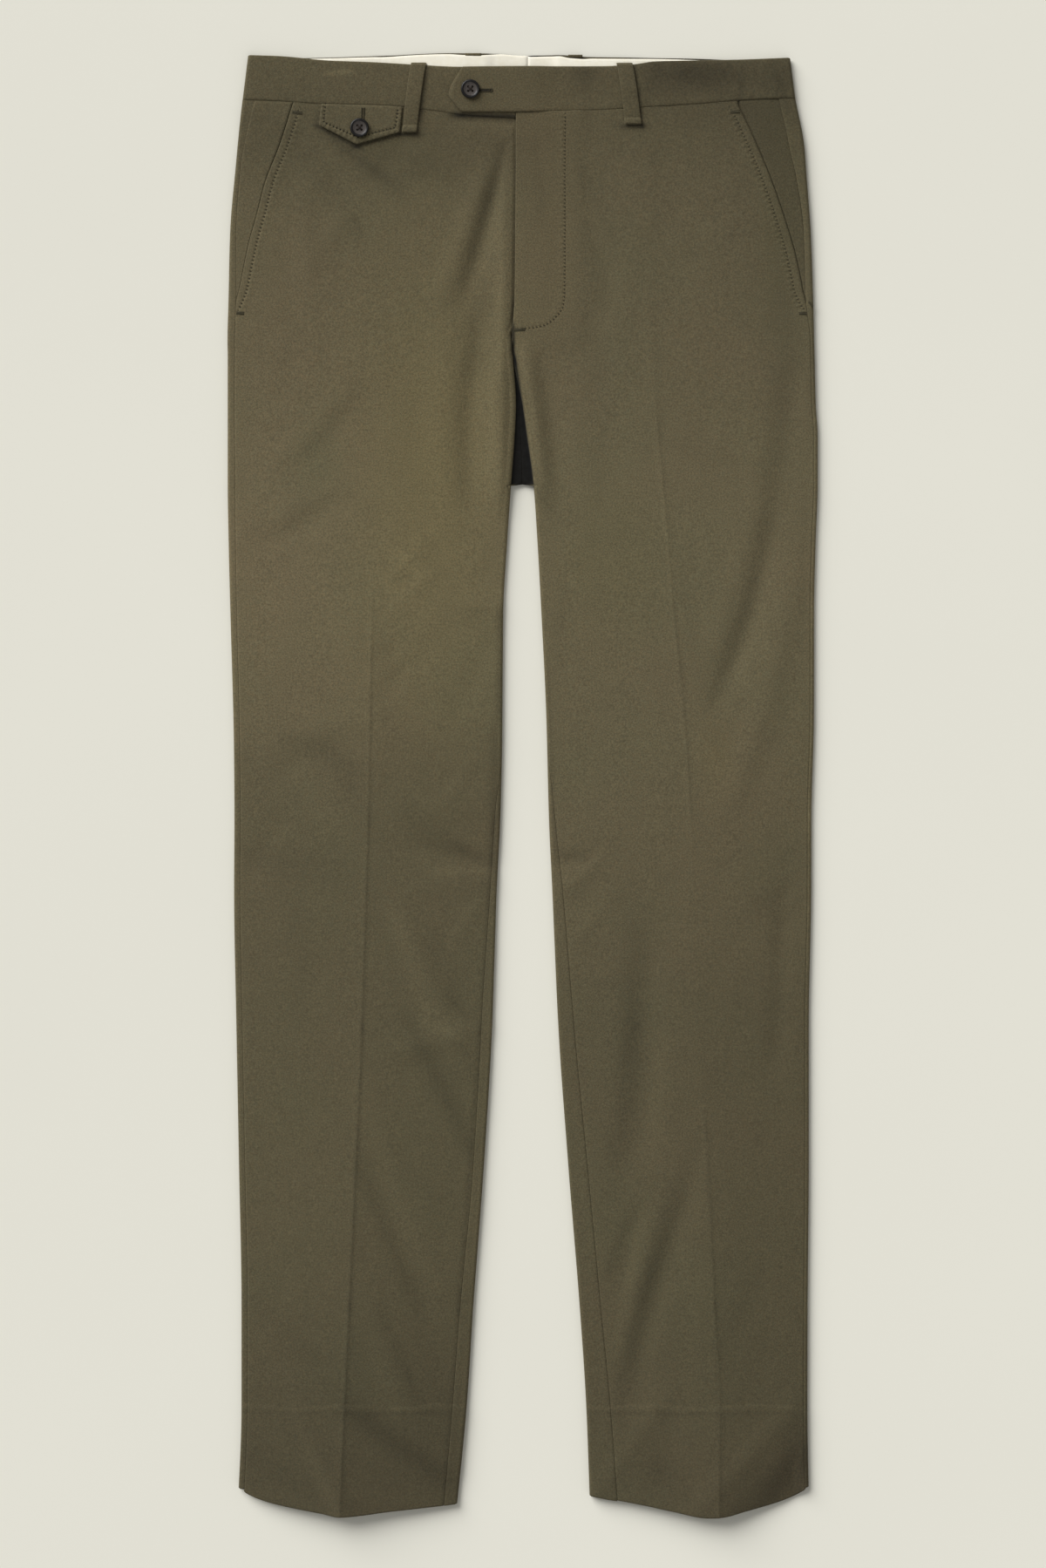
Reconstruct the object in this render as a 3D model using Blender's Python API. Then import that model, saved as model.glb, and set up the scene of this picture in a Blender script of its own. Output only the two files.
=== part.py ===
"""Dress trousers with a slim straight leg, laid flat on their back with the front upwards.

+X is to the viewer's right, +Y runs from the hems to the waist and +Z is up. The origin is on the
surface, below the middle of the outline. Right and left are the wearer's, so the right leg is at -X.
Sizes in the tables are millimetres. "across" is the distance from the middle line, positive towards
the leg's own side, and "level" is the height along Y.
"""

import functools
import math

import bmesh
import bpy
import numpy as np

MM = 0.001

# Walls, in the order in which the layers lie on each other.
CLOTH = 1.2
HEM_CLOTH = 2.0
BAND_CLOTH = 1.4
LINING_CLOTH = 1.0
FACING_CLOTH = 1.0
LOOP_CLOTH = 1.0
GAP = 0.3

# Heights of the outer face of each layer at the waist.
BAND_TOP = 5.8
TAB_TOP = BAND_TOP + GAP + BAND_CLOTH
LINING_TOP = BAND_CLOTH + GAP + LINING_CLOTH
LOOP_LIFT = LOOP_CLOTH + GAP
UNDERLAP_TOP = 4.6
FLY_TOP = UNDERLAP_TOP + GAP + CLOTH

# Levels where a front changes from one shape to the next.
WAIST_LEVEL = 548.0
FLY_END_LEFT = 357.0
FLY_END_RIGHT = 372.0
FORK_LEVEL = 242.3
FORK_STEP = 1.4
HEM_LEVEL = -575.0
HEM_TURN_UP = -498.0
BLEND_LENGTH = 80.0
ROW_STEP = 36.0

FLOOR_TOP = CLOTH + GAP + CLOTH
FOOT_RADIUS = 1.0
UNDERLAP_WIDTH = 8.0
FLY_WIDTH = 40.0
FACING_OVERLAP = 10.0

BAND_TURN = 2.9
BAND_SIDES = {"right": (225.0, 220.6), "left": (219.2, 215.0)}
BAND_END_RIGHT = 5.7
LINING_SEAM = 4.2
LINING_END = 8.0

BUTTON_RADIUS = 7.6
BUTTON_HEIGHT = 2.6
BUTTON_HOLE_RADIUS = 0.9
BUTTON_HOLE_OFFSET = 1.7
BUTTON_SIDES = 24

OLIVE = (0.105, 0.090, 0.050)
CREAM = (0.80, 0.75, 0.62)
BUTTON_BROWN = (0.020, 0.016, 0.014)
ZIP_BRASS = (0.45, 0.33, 0.14)

OUTWARD = {"right": -1.0, "left": 1.0}

# One row for each section of a leg, from the waist to the hem. side_seam and inseam are how far the
# seams lie inside the edges, turn is the width of the roll at the inner edge, edge is the height of
# the edges, rise is how much higher the crease is, and roundness 1 is a tent and 2 a dome.
SECTION_COLUMNS = (
    "level", "outer", "side_seam", "crease", "inner", "turn", "inseam", "edge", "rise", "roundness",
)
SECTIONS = {
    "right": (
        (552, 225.0, 10.4, 112.0, 5.3, 3.0, 0.0, 5.4, 0.0, 2.0),
        (533, 227.2, 8.0, 113.0, 5.3, 3.0, 0.0, 5.4, 0.0, 2.0),
        (496, 230.7, 4.2, 114.0, 5.4, 4.0, 0.0, 5.3, 0.1, 2.0),
        (446, 235.0, 4.9, 116.0, 5.7, 5.0, 0.0, 5.2, 0.3, 2.0),
        (390, 236.4, 6.2, 117.0, 6.2, 5.0, 0.0, 5.0, 0.5, 2.0),
        (357, 237.2, 6.1, 118.0, 8.3, 5.0, 0.0, 5.0, 0.6, 2.0),
        (346, 237.0, 5.9, 118.0, 7.8, 5.0, 0.0, 5.0, 0.7, 2.0),
        (306, 237.0, 5.5, 118.0, 5.1, 5.0, 0.0, 4.9, 1.0, 2.0),
        (281, 237.0, 5.8, 118.0, 6.2, 5.0, 0.0, 4.8, 1.2, 2.0),
        (242, 237.0, 6.1, 118.0, 9.2, 4.5, 0.0, 4.8, 1.6, 2.0),
        (197, 236.3, 5.8, 119.0, 12.3, 3.5, 0.0, 4.7, 2.0, 1.9),
        (141, 234.9, 5.3, 121.0, 15.5, 2.8, 0.0, 4.6, 2.6, 1.8),
        (29, 232.0, 5.0, 123.0, 16.5, 2.6, 0.0, 4.6, 3.6, 1.6),
        (-27, 231.6, 5.0, 124.0, 17.9, 2.6, 4.5, 4.6, 4.0, 1.5),
        (-83, 231.9, 5.0, 125.7, 20.7, 2.6, 5.2, 4.6, 4.4, 1.4),
        (-195, 230.0, 5.0, 129.2, 24.5, 2.6, 8.7, 4.7, 5.2, 1.3),
        (-307, 227.9, 5.0, 134.0, 31.2, 2.6, 8.5, 4.8, 6.0, 1.2),
        (-419, 225.9, 5.0, 139.3, 39.6, 2.6, 10.5, 4.9, 6.8, 1.15),
        (-498, 225.9, 4.9, 143.0, 44.8, 2.6, 11.4, 5.0, 7.6, 1.1),
        (-590, 229.3, 4.7, 146.5, 53.9, 2.6, 10.3, 5.2, 8.6, 1.1),
    ),
    "left": (
        (552, 219.2, 13.4, 98.0, -5.0, 3.0, 0.0, 5.4, 0.0, 2.0),
        (514, 226.4, 12.3, 99.0, -5.0, 3.0, 0.0, 5.4, 0.1, 2.0),
        (491, 228.2, 8.6, 100.0, -5.1, 4.0, 0.0, 5.3, 0.2, 2.0),
        (446, 231.5, 5.6, 101.0, -5.4, 4.5, 0.0, 5.2, 0.3, 2.0),
        (394, 233.5, 6.0, 103.0, -5.9, 4.5, 0.0, 5.0, 0.5, 2.0),
        (357, 234.4, 3.1, 104.0, -8.0, 4.5, 0.0, 5.0, 0.6, 2.0),
        (346, 234.7, 3.1, 104.5, -7.5, 4.5, 0.0, 5.0, 0.7, 2.0),
        (306, 235.7, 3.1, 107.0, 0.1, 4.5, 0.0, 4.9, 1.0, 2.0),
        (281, 237.2, 3.1, 109.0, 3.6, 4.5, 0.0, 4.8, 1.2, 2.0),
        (242, 237.2, 3.1, 112.4, 8.8, 4.0, 0.0, 4.8, 1.6, 2.0),
        (197, 235.6, 3.1, 116.5, 11.9, 3.5, 0.0, 4.7, 2.0, 1.9),
        (141, 234.3, 3.1, 121.0, 15.0, 2.8, 0.0, 4.6, 2.6, 1.8),
        (57, 234.2, 3.1, 129.5, 19.0, 2.6, 0.0, 4.6, 3.3, 1.6),
        (-27, 232.1, 3.1, 135.0, 21.2, 2.6, 5.0, 4.6, 4.0, 1.5),
        (-83, 232.0, 3.1, 137.0, 23.8, 2.6, 8.4, 4.6, 4.4, 1.4),
        (-195, 230.0, 3.1, 141.5, 28.8, 2.6, 12.8, 4.7, 5.2, 1.3),
        (-307, 230.0, 3.1, 148.8, 36.8, 2.6, 15.6, 4.8, 6.0, 1.2),
        (-419, 229.1, 3.1, 153.7, 45.9, 2.6, 17.1, 4.9, 6.8, 1.15),
        (-498, 228.9, 3.1, 157.9, 51.1, 2.6, 19.5, 5.0, 7.6, 1.1),
        (-590, 230.5, 3.1, 157.2, 54.5, 2.6, 23.0, 5.2, 8.6, 1.1),
    ),
}

# The slant pocket's edge: level and across.
POCKET_EDGE = {
    "right": ((549, 183.8), (514, 195.0), (485, 206.4), (458, 213.5), (436, 219.7), (401, 226.9)),
    "left": ((547, 172.8), (526, 182.8), (491, 197.8), (469, 205.9), (429, 218.3), (404, 223.9)),
}
POCKET_END = 386.0
POCKET_RUN_OUT = 6.0

# Edges of the waistband and the hem: across and level.
WAIST_SEAM = {
    "right": ((225, 551.0), (195, 550.0), (163, 547.6), (110, 546.0), (70, 542.0), (49, 539.0), (6, 536.3)),
    "left": ((219, 552.2), (194, 551.8), (140, 547.6), (105, 545.4), (60, 542.8), (-5, 541.1)),
}
WAIST_SEAM_BACK = {
    "right": ((225, 551.0), (195, 550.0), (150, 549.8), (0, 551.4)),
    "left": ((219, 552.2), (194, 551.8), (150, 550.6), (0, 551.4)),
}
WAIST_TOP_FRONT = {
    "right": ((221, 586.5), (196, 585.7), (156, 582.1), (119, 580.7), (90, 579.0), (56, 577.2), (5, 576.6)),
    "left": ((215, 584.4), (174, 582.8), (107, 581.4), (89, 579.0), (64, 577.5), (5, 577.4), (-48, 577.0)),
}
WAIST_TOP_BACK = {
    "right": ((221, 586.5), (181, 584.7), (110, 586.6), (56, 588.4), (20, 588.1), (0, 586.5)),
    "left": ((215, 584.4), (174, 583.0), (140, 584.2), (107, 584.7), (53, 585.4), (28, 587.0), (0, 586.5)),
}
HEM_EDGE = {
    "right": ((229, -566.0), (208, -576.5), (175, -583.5), (147, -589.0), (104, -583.5), (53, -578.5)),
    "left": ((230, -566.0), (208, -576.5), (180, -583.5), (155, -589.0), (121, -583.5), (82, -576.5), (54, -570.0)),
}
HEM_EDGE_BACK = {"right": ((229, -566.0), (53, -578.5)), "left": ((230, -566.0), (54, -570.0))}

# The largest folds, as soft ridges (height above 0) and troughs: x and y of both ends.
FOLD_COLUMNS = ("x0", "y0", "x1", "y1", "width", "height")
FOLDS = {
    "right": (
        (-19, 428, -18, 240, 8, 4.4),
        (-12, 515, -50, 400, 8, -1.3),
        (-30, 520, -64, 420, 9, 0.9),
        (-133, 512, -112, 486, 8, -0.9),
        (-136, 308, -175, 264, 13, -1.0),
        (-157, 232, -200, 212, 12, -0.8),
        (-192, 28, -145, 30, 16, -0.9),
        (-105, -48, -48, -50, 11, -1.0),
        (-105, -70, -34, -64, 9, 1.0),
        (-96, -118, -62, -205, 11, 1.1),
        (-78, -222, -50, -278, 12, -1.1),
        (-132, -330, -82, -420, 12, -1.0),
        (-126, -517, -70, -556, 11, -1.8),
        (-205, -510, -160, -560, 12, -1.2),
    ),
    "left": (
        (4, 352, 17, 240, 8, 3.4),
        (46, 481, 64, 428, 10, -0.8),
        (60, 365, 66, 300, 12, -0.8),
        (207, 309, 198, 225, 11, -1.1),
        (200, 211, 154, 78, 11, -1.8),
        (211, 160, 172, 40, 12, 1.2),
        (40, -58, 66, -50, 8, -1.0),
        (42, -74, 70, -62, 7, 0.8),
        (92, -118, 80, -192, 13, -1.3),
        (203, -100, 196, -180, 12, -1.0),
        (88, -209, 76, -280, 11, -1.2),
        (131, -312, 80, -474, 10, -2.2),
        (110, -330, 66, -470, 9, 1.0),
        (166, -560, 222, -520, 14, -2.4),
    ),
}

# Belt loops: the middle of the upper and lower end, and the width there.
FRONT_LOOPS = {
    "right": ((-83.4, 579.6), (-90.8, 525.0), 12.0, 11.0),
    "left": ((81.8, 579.6), (88.9, 531.5), 12.4, 12.6),
}
FRONT_LOOP_BOW = 1.2
BACK_LOOPS = {"right": (-39.6, 588.9, 12.6), "left": (42.4, 587.6, 11.0)}
BACK_LOOP_LENGTH = 55.0
LOOP_FOOT = 527.0
LIFT_ACROSS = (22.0, 31.0, 76.0, 112.0)

# The ticket pocket's flap: across of its left and right edge, and the level of its lower corners.
FLAP_TOP = (161.5, 96.5)
FLAP_BOTTOM = ((163.0, 530.3), (133.4, 515.0), (99.0, 524.7))
FLAP_LIFT = 1.3
FLAP_BUTTON = (-130.8, 527.8)
WAIST_BUTTON = (-41.9, 559.0)

# The tab's end: share of the band's height, and across.
TAB_END = ((0.0, -48.9), (0.18, -54.5), (0.38, -58.9), (0.55, -57.6), (0.8, -52.5), (1.0, -48.2))

UNDERLAP_BOX = ((-20.0, 376.0), (21.0, 538.0))
ZIP_SPAN = (3.0, 16.0)
ZIP_LEVELS = (380.0, 536.0)
ZIP_HEIGHTS = (2.8, 4.6)
SLIDER_LENGTH = 12.0
SLIDER_INSET = 2.5


def smooth(rows, at):
    """The value at a place in rows of (place, value), on a smooth line that never overshoots them."""
    rows = sorted(rows)
    places = np.array([row[0] for row in rows], float)
    values = np.array([row[1] for row in rows], float)
    steps = np.diff(values) / np.diff(places)
    slopes = np.zeros(len(rows))
    slopes[0], slopes[-1] = steps[0], steps[-1]
    both = steps[:-1] * steps[1:] > 0
    before, after = steps[:-1][both], steps[1:][both]
    slopes[1:-1][both] = 2 * before * after / (before + after)
    at = np.clip(np.asarray(at, float), places[0], places[-1])
    index = np.clip(np.searchsorted(places, at) - 1, 0, len(steps) - 1)
    run = places[index + 1] - places[index]
    t = (at - places[index]) / run
    return (
        values[index] * (1 + 2 * t) * (1 - t) ** 2
        + values[index + 1] * t * t * (3 - 2 * t)
        + slopes[index] * run * t * (1 - t) ** 2
        - slopes[index + 1] * run * t * t * (1 - t)
    )


def ease(value, low, high):
    """0 below low, 1 above high, and a soft step between them."""
    t = np.clip((np.asarray(value, float) - low) / (high - low), 0.0, 1.0)
    return t * t * (3 - 2 * t)


@functools.lru_cache(maxsize=None)
def size(side, column, level):
    """One named size of a leg's section at a level."""
    index = SECTION_COLUMNS.index(column)
    return float(smooth([(row[0], row[index]) for row in SECTIONS[side]], level))


def fold_height(side, across, level):
    """How much the folds raise or lower the front there."""
    x = across * OUTWARD[side]
    total = np.zeros_like(x)
    for row in FOLDS[side]:
        fold = dict(zip(FOLD_COLUMNS, row))
        run_x, run_y = fold["x1"] - fold["x0"], fold["y1"] - fold["y0"]
        length = math.hypot(run_x, run_y)
        along = ((x - fold["x0"]) * run_x + (level - fold["y0"]) * run_y) / length
        beside = ((x - fold["x0"]) * run_y - (level - fold["y0"]) * run_x) / length
        beyond = np.maximum(0.0, np.maximum(-along, along - length))
        reach = 3 * fold["width"]
        total += fold["height"] * np.exp(-((beside / fold["width"]) ** 2) - (beyond / reach) ** 2)
    return total


def top_height(side, across, level):
    """Height of the front's outer face, apart from the rolls at its edges."""
    across = np.asarray(across, float)
    outer, inner = size(side, "outer", level), size(side, "inner", level)
    crease = size(side, "crease", level)
    edge, rise = size(side, "edge", level), size(side, "rise", level)
    span = np.where(across > crease, outer - crease, crease - inner)
    away = np.clip(np.abs(across - crease) / span, 0.0, 1.0)
    height = edge + rise * (1 - away ** size(side, "roundness", level))
    margin = ease(outer - across, 0.0, 14.0) * ease(WAIST_LEVEL - level, 0.0, 30.0)
    height = height + margin * fold_height(side, across, level)
    if side == "right":
        under_fly = ease(level, FLY_END_LEFT, FLY_END_LEFT + 7.0) * (1 - ease(across - inner, 1.0, 8.0))
        return height * (1 - under_fly) + UNDERLAP_TOP * under_fly
    over_fly = ease(level, FLY_END_LEFT - 17.0, FLY_END_LEFT + 7.0) * (1 - ease(across, FLY_WIDTH, FLY_WIDTH + 14.0))
    return height * (1 - over_fly) + FLY_TOP * over_fly


def wall_at(level):
    """The cloth's thickness: double where the hem is turned up."""
    return CLOTH + (HEM_CLOTH - CLOTH) * float(ease(-level, -HEM_TURN_UP - 6.0, -HEM_TURN_UP + 6.0))


def seam_on_front(side, level):
    """Across of the side seam."""
    return size(side, "outer", level) - size(side, "side_seam", level)


def front_outer_edge(side, level):
    """Across of the front's outer edge: the slant pocket's edge, and the side seam below it."""
    seam = seam_on_front(side, level)
    if level <= POCKET_END:
        return seam - GAP / 2
    pocket = float(smooth(POCKET_EDGE[side], level))
    run_out = float(ease(level, POCKET_END, POCKET_END + 3 * POCKET_RUN_OUT))
    return min(seam - GAP / 2, pocket * run_out + (seam - GAP / 2) * (1 - run_out))


def crotch_seam(level):
    """x of the seam between the two fronts, in the middle of the fold between the legs."""
    return (size("left", "inner", level) - size("right", "inner", level)) / 2


def arc(centre, radii, start, end, steps):
    """Points on an ellipse, with angles in degrees."""
    angles = np.radians(np.linspace(start, end, steps))
    return [
        (centre[0] + radii[0] * math.cos(angle), centre[1] + radii[1] * math.sin(angle))
        for angle in angles
    ]


def on_top(side, level, start, end, steps):
    """Points of the front's outer face from one place across to another."""
    across = np.linspace(start, end, steps)
    return list(zip(across, top_height(side, across, level)))


def inner_roll(side, level, seam):
    """The roll at a front's inner edge: down to its seam and, above the fork, on to the crotch seam."""
    inner, turn = size(side, "inner", level), size(side, "turn", level)
    top = float(top_height(side, inner + turn, level))
    if level < FORK_LEVEL - FORK_STEP / 2:
        reach = max(0.0, min(turn, seam))
        upto = math.degrees(math.acos((reach - turn) / turn))
        return arc((inner + turn, top / 2), (turn, top / 2), 90, upto, 12)
    room = inner - crotch_seam(level) * OUTWARD[side] - GAP / 2
    foot = min(FOOT_RADIUS, max(0.0, room))
    points = arc((inner + turn, top / 2), (turn, top / 2), 90, 180, 12)
    if foot < 0.1:
        return points + [(inner, CLOTH + GAP + 0.1)]
    points += arc((inner - foot, FLOOR_TOP + foot), (foot, foot), 0, -90, 5)
    return points + [(inner - room - 0.001, FLOOR_TOP)]


def front_contour(side, level):
    """A front's outer line at a level, as three stretches that meet at the crease and at the roll."""
    start = front_outer_edge(side, level)
    crease, inner = size(side, "crease", level), size(side, "inner", level)
    turn, seam = size(side, "turn", level), size(side, "inseam", level)
    fly_end = FLY_END_RIGHT if side == "right" else FLY_END_LEFT
    if level > FLY_END_LEFT + 4.0:
        open_edge = inner + GAP
        if side == "right" and level >= fly_end:
            open_edge = inner - UNDERLAP_WIDTH
        if side == "left":
            open_edge = inner
        roll_start = inner + turn + 4.0
        last = on_top(side, level, roll_start, open_edge, 16)
    elif side == "left" and level > FLY_END_LEFT - 0.5:
        roll_start = inner + turn + 4.0
        last = on_top(side, level, roll_start, inner, 16)
    elif seam > turn:
        roll_start = inner + seam + turn + 2.0
        last = on_top(side, level, roll_start, inner + seam + GAP / 2, 8)
    else:
        roll_start = inner + seam + turn + 2.0
        last = on_top(side, level, roll_start, inner + turn, 6)[:-1]
        last += inner_roll(side, level, seam)
    return (
        on_top(side, level, start, crease, 40),
        on_top(side, level, crease, roll_start, 40),
        last,
    )


def back_contour(side, level):
    """A back's outer line: from the side seam round the outer edge, and under the leg to its inner seam."""
    outer, inner = size(side, "outer", level), size(side, "inner", level)
    turn, seam = size(side, "turn", level), size(side, "inseam", level)
    side_turn = 2.6
    begin = seam_on_front(side, level) + GAP / 2
    top = float(top_height(side, outer - side_turn, level))
    first = []
    if begin < outer - side_turn - 0.2:
        first = on_top(side, level, begin, outer - side_turn, 6)[:-1]
    from_angle = 90
    if begin > outer - side_turn:
        from_angle = math.degrees(math.acos(min(1.0, (begin - outer + side_turn) / side_turn)))
    first += arc((outer - side_turn, top / 2), (side_turn, top / 2), from_angle, -90, 16)
    if level > FORK_LEVEL - FORK_STEP / 2:
        bend = LIFT_ACROSS[1] + 3.0
        middle = [(outer - side_turn, 0.0), (bend, 0.0)]
        return first, middle, [(bend, 0.0), (GAP / 2, 0.0)]
    top = float(top_height(side, inner + turn, level))
    middle = [(outer - side_turn, 0.0), (inner + turn, 0.0)]
    if seam > turn:
        last = arc((inner + turn, top / 2), (turn, top / 2), 270, 90, 16)
        return first, middle, last + on_top(side, level, inner + turn, inner + seam - GAP / 2, 6)[1:]
    upto = math.degrees(math.acos((max(0.0, seam) - turn) / turn) + 2.0 * GAP / (top / 2))
    return first, middle, arc((inner + turn, top / 2), (turn, top / 2), 270, upto, 16)


def pick(stretches, counts, wanted):
    """The wanted point of a line that is shared out evenly in each stretch, and its direction there."""
    line = np.array([point for stretch in stretches for point in stretch], float)
    lengths = [np.linalg.norm(np.diff(np.array(s, float), axis=0), axis=1).sum() for s in stretches]
    run = np.concatenate([[0.0], np.cumsum(np.linalg.norm(np.diff(line, axis=0), axis=1))])
    marks = np.cumsum([0.0] + lengths)
    place = 0.0
    for number, count in enumerate(counts):
        if wanted <= count:
            place = marks[number] + lengths[number] * wanted / count
            break
        wanted -= count
    keep = np.concatenate([[True], np.diff(run) > 1e-9])
    run, line = run[keep], line[keep]
    near = 0.06
    low, high = max(0.0, place - near), min(run[-1], place + near)

    def at(distance):
        return np.array([np.interp(distance, run, line[:, 0]), np.interp(distance, run, line[:, 1])])

    return at(place), (at(high) - at(low)) / (high - low)


def row_levels():
    """Levels of the rows of a front or a back, with one at each place where its shape changes."""
    fixed = (
        WAIST_LEVEL, 532.0, 512.0, 491.0, 446.0, 404.0, POCKET_END, FLY_END_RIGHT, 364.0,
        FLY_END_LEFT, 350.0, 332.0, 306.0, 281.0, 258.0, FORK_LEVEL, FORK_LEVEL - FORK_STEP,
        222.0, HEM_TURN_UP + 7.0, HEM_TURN_UP - 7.0, -525.0, -550.0, HEM_LEVEL,
    )
    levels = []
    for high, low in zip(fixed, fixed[1:]):
        steps = max(1, round((high - low) / ROW_STEP))
        levels += [high + (low - high) * step / steps for step in range(steps)]
    return levels + [HEM_LEVEL]


def blended_level(level, across, waist, hem):
    """A row's level at one place across, bent to follow the waist seam and the hem near them."""
    at_waist = float(ease(level, WAIST_LEVEL - BLEND_LENGTH, WAIST_LEVEL))
    at_hem = float(ease(-level, -HEM_LEVEL - BLEND_LENGTH, -HEM_LEVEL))
    above = float(smooth(waist, across)) - WAIST_LEVEL
    below = float(smooth(hem, across)) - HEM_LEVEL
    return level + above * at_waist + below * at_hem


def panel_grids(side, contour, counts, waist, hem, turn_over):
    """Outer and inner points of a front or a back."""
    outer_grid, inner_grid = [], []
    for level in row_levels():
        outer_row, inner_row = [], []
        for column in range(sum(counts) + 1):
            (across, _), _ = pick(contour(side, level), counts, column)
            y = blended_level(level, across, waist, hem)
            (across, z), (run_a, run_z) = pick(contour(side, y), counts, column)
            wall = wall_at(y)
            normal = np.array([run_z, -run_a]) * turn_over
            z += back_lift(across, y) if z < CLOTH and turn_over < 0 else 0.0
            inside_a, inside_z = np.array([across, z]) - wall * normal / np.linalg.norm(normal)
            outer_row.append((across * OUTWARD[side], y, z))
            inner_row.append((inside_a * OUTWARD[side], y, inside_z))
        outer_grid.append(outer_row)
        inner_grid.append(inner_row)
    return outer_grid, inner_grid


def back_lift(x, y):
    """How much the back layers rise over the belt loops that lie under them."""
    inside, near, far, outside = LIFT_ACROSS
    beside = ease(abs(x), inside, near) * (1 - ease(abs(x), far, outside))
    return LOOP_LIFT * float(beside * ease(y, LOOP_FOOT - 36.0, LOOP_FOOT))


def material(name, colour, roughness, metallic=0.0):
    made = bpy.data.materials.get(name)
    if made:
        return made
    made = bpy.data.materials.new(name)
    made.use_nodes = True
    made.diffuse_color = (*colour, 1.0)
    shader = made.node_tree.nodes["Principled BSDF"]
    shader.inputs["Base Color"].default_value = (*colour, 1.0)
    shader.inputs["Roughness"].default_value = roughness
    shader.inputs["Metallic"].default_value = metallic
    return made


def make_object(name, points, faces, finish):
    """One named object from points in millimetres, with its faces turned outwards."""
    mesh = bpy.data.meshes.new(name)
    mesh.from_pydata([(x * MM, y * MM, z * MM) for x, y, z in points], [], faces)
    body = bmesh.new()
    body.from_mesh(mesh)
    if body.calc_volume(signed=True) < 0:
        bmesh.ops.reverse_faces(body, faces=body.faces)
    body.to_mesh(mesh)
    body.free()
    mesh.shade_smooth()
    mesh.set_sharp_from_angle(angle=math.radians(40))
    mesh.materials.append(finish)
    made = bpy.data.objects.new(name, mesh)
    bpy.context.scene.collection.objects.link(made)
    return made


def make_wall(name, outer, inner, finish):
    """One closed wall between two grids of points, given as rows of (x, y, z)."""
    rows, columns = len(outer), len(outer[0])

    def number(grid, row, column):
        return (grid * rows + row) * columns + column

    points = [point for grid in (outer, inner) for row in grid for point in row]
    faces = []
    for row in range(rows - 1):
        for column in range(columns - 1):
            corners = ((row, column), (row, column + 1), (row + 1, column + 1), (row + 1, column))
            faces.append([number(0, *corner) for corner in corners])
            faces.append([number(1, *corner) for corner in reversed(corners)])
    rim = [(0, column) for column in range(columns - 1)]
    rim += [(row, columns - 1) for row in range(rows - 1)]
    rim += [(rows - 1, column) for column in range(columns - 1, 0, -1)]
    rim += [(row, 0) for row in range(rows - 1, 0, -1)]
    for one, other in zip(rim, rim[1:] + rim[:1]):
        faces.append([number(0, *other), number(0, *one), number(1, *one), number(1, *other)])
    return make_object(name, points, faces, finish)


def make_front(side, finish):
    waist = [(across, level - GAP / 2) for across, level in WAIST_SEAM[side]]
    grids = panel_grids(side, front_contour, (6, 6, 7), waist, HEM_EDGE[side], 1.0)
    return make_wall("front_" + side, *grids, finish)


def make_back(side, finish):
    waist = [(across, level - GAP / 2) for across, level in WAIST_SEAM_BACK[side]]
    grids = panel_grids(side, back_contour, (6, 5, 5), waist, HEM_EDGE_BACK[side], -1.0)
    return make_wall("back_" + side, *grids, finish)


def make_facing(side, finish):
    """The slant pocket's facing, one wall below the front's edge."""
    outer, inner = [], []
    for level in np.linspace(WAIST_LEVEL, POCKET_END + 2.0, 12):
        reach = size(side, "outer", level) - 3.6
        begin = min(seam_on_front(side, level) + 1.5, reach)
        end = front_outer_edge(side, level) - FACING_OVERLAP
        top_row, under_row = [], []
        for across in np.linspace(begin, end, 6):
            waist = float(smooth(WAIST_SEAM[side], across)) - GAP / 2 - WAIST_LEVEL
            y = level + waist * float(ease(level, WAIST_LEVEL - BLEND_LENGTH, WAIST_LEVEL))
            z = float(top_height(side, across, y)) - CLOTH - GAP
            top_row.append((across * OUTWARD[side], y, z))
            under_row.append((across * OUTWARD[side], y, z - FACING_CLOTH))
        outer.append(top_row)
        inner.append(under_row)
    return make_wall("pocket_facing_" + side, outer, inner, finish)


def band_top(side, across):
    """Height of the front waistband's outer face: the left one rises over the right one as the tab."""
    if side == "right":
        return BAND_TOP
    return TAB_TOP + (BAND_TOP - TAB_TOP) * float(ease(across, 8.0, 30.0))


def band_contour(side, share):
    """The waistband's outer line at a share of its height: under the back, round the side, over the front."""
    edge = BAND_SIDES[side][0] * (1 - share) + BAND_SIDES[side][1] * share
    turn = edge - BAND_TURN
    under = (GAP / 2, *LIFT_ACROSS, 150.0, 190.0)
    points = [(across, 0.0, 1.0) for across in under]
    for across, z in arc((turn, BAND_TOP / 2), (BAND_TURN, BAND_TOP / 2), -90, 90, 7):
        points.append((across, z, 1 - z / BAND_TOP))
    end = BAND_END_RIGHT if side == "right" else float(smooth(TAB_END, share))
    over = [190.0, 160.0, 130.0, 104.0, 88.0, 70.0, 50.0, 30.0, 19.0, 8.0]
    if side == "left":
        over += [-8.0, -25.0, -40.0]
    points += [(across, band_top(side, across), 0.0) for across in over + [end]]
    return points


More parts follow.
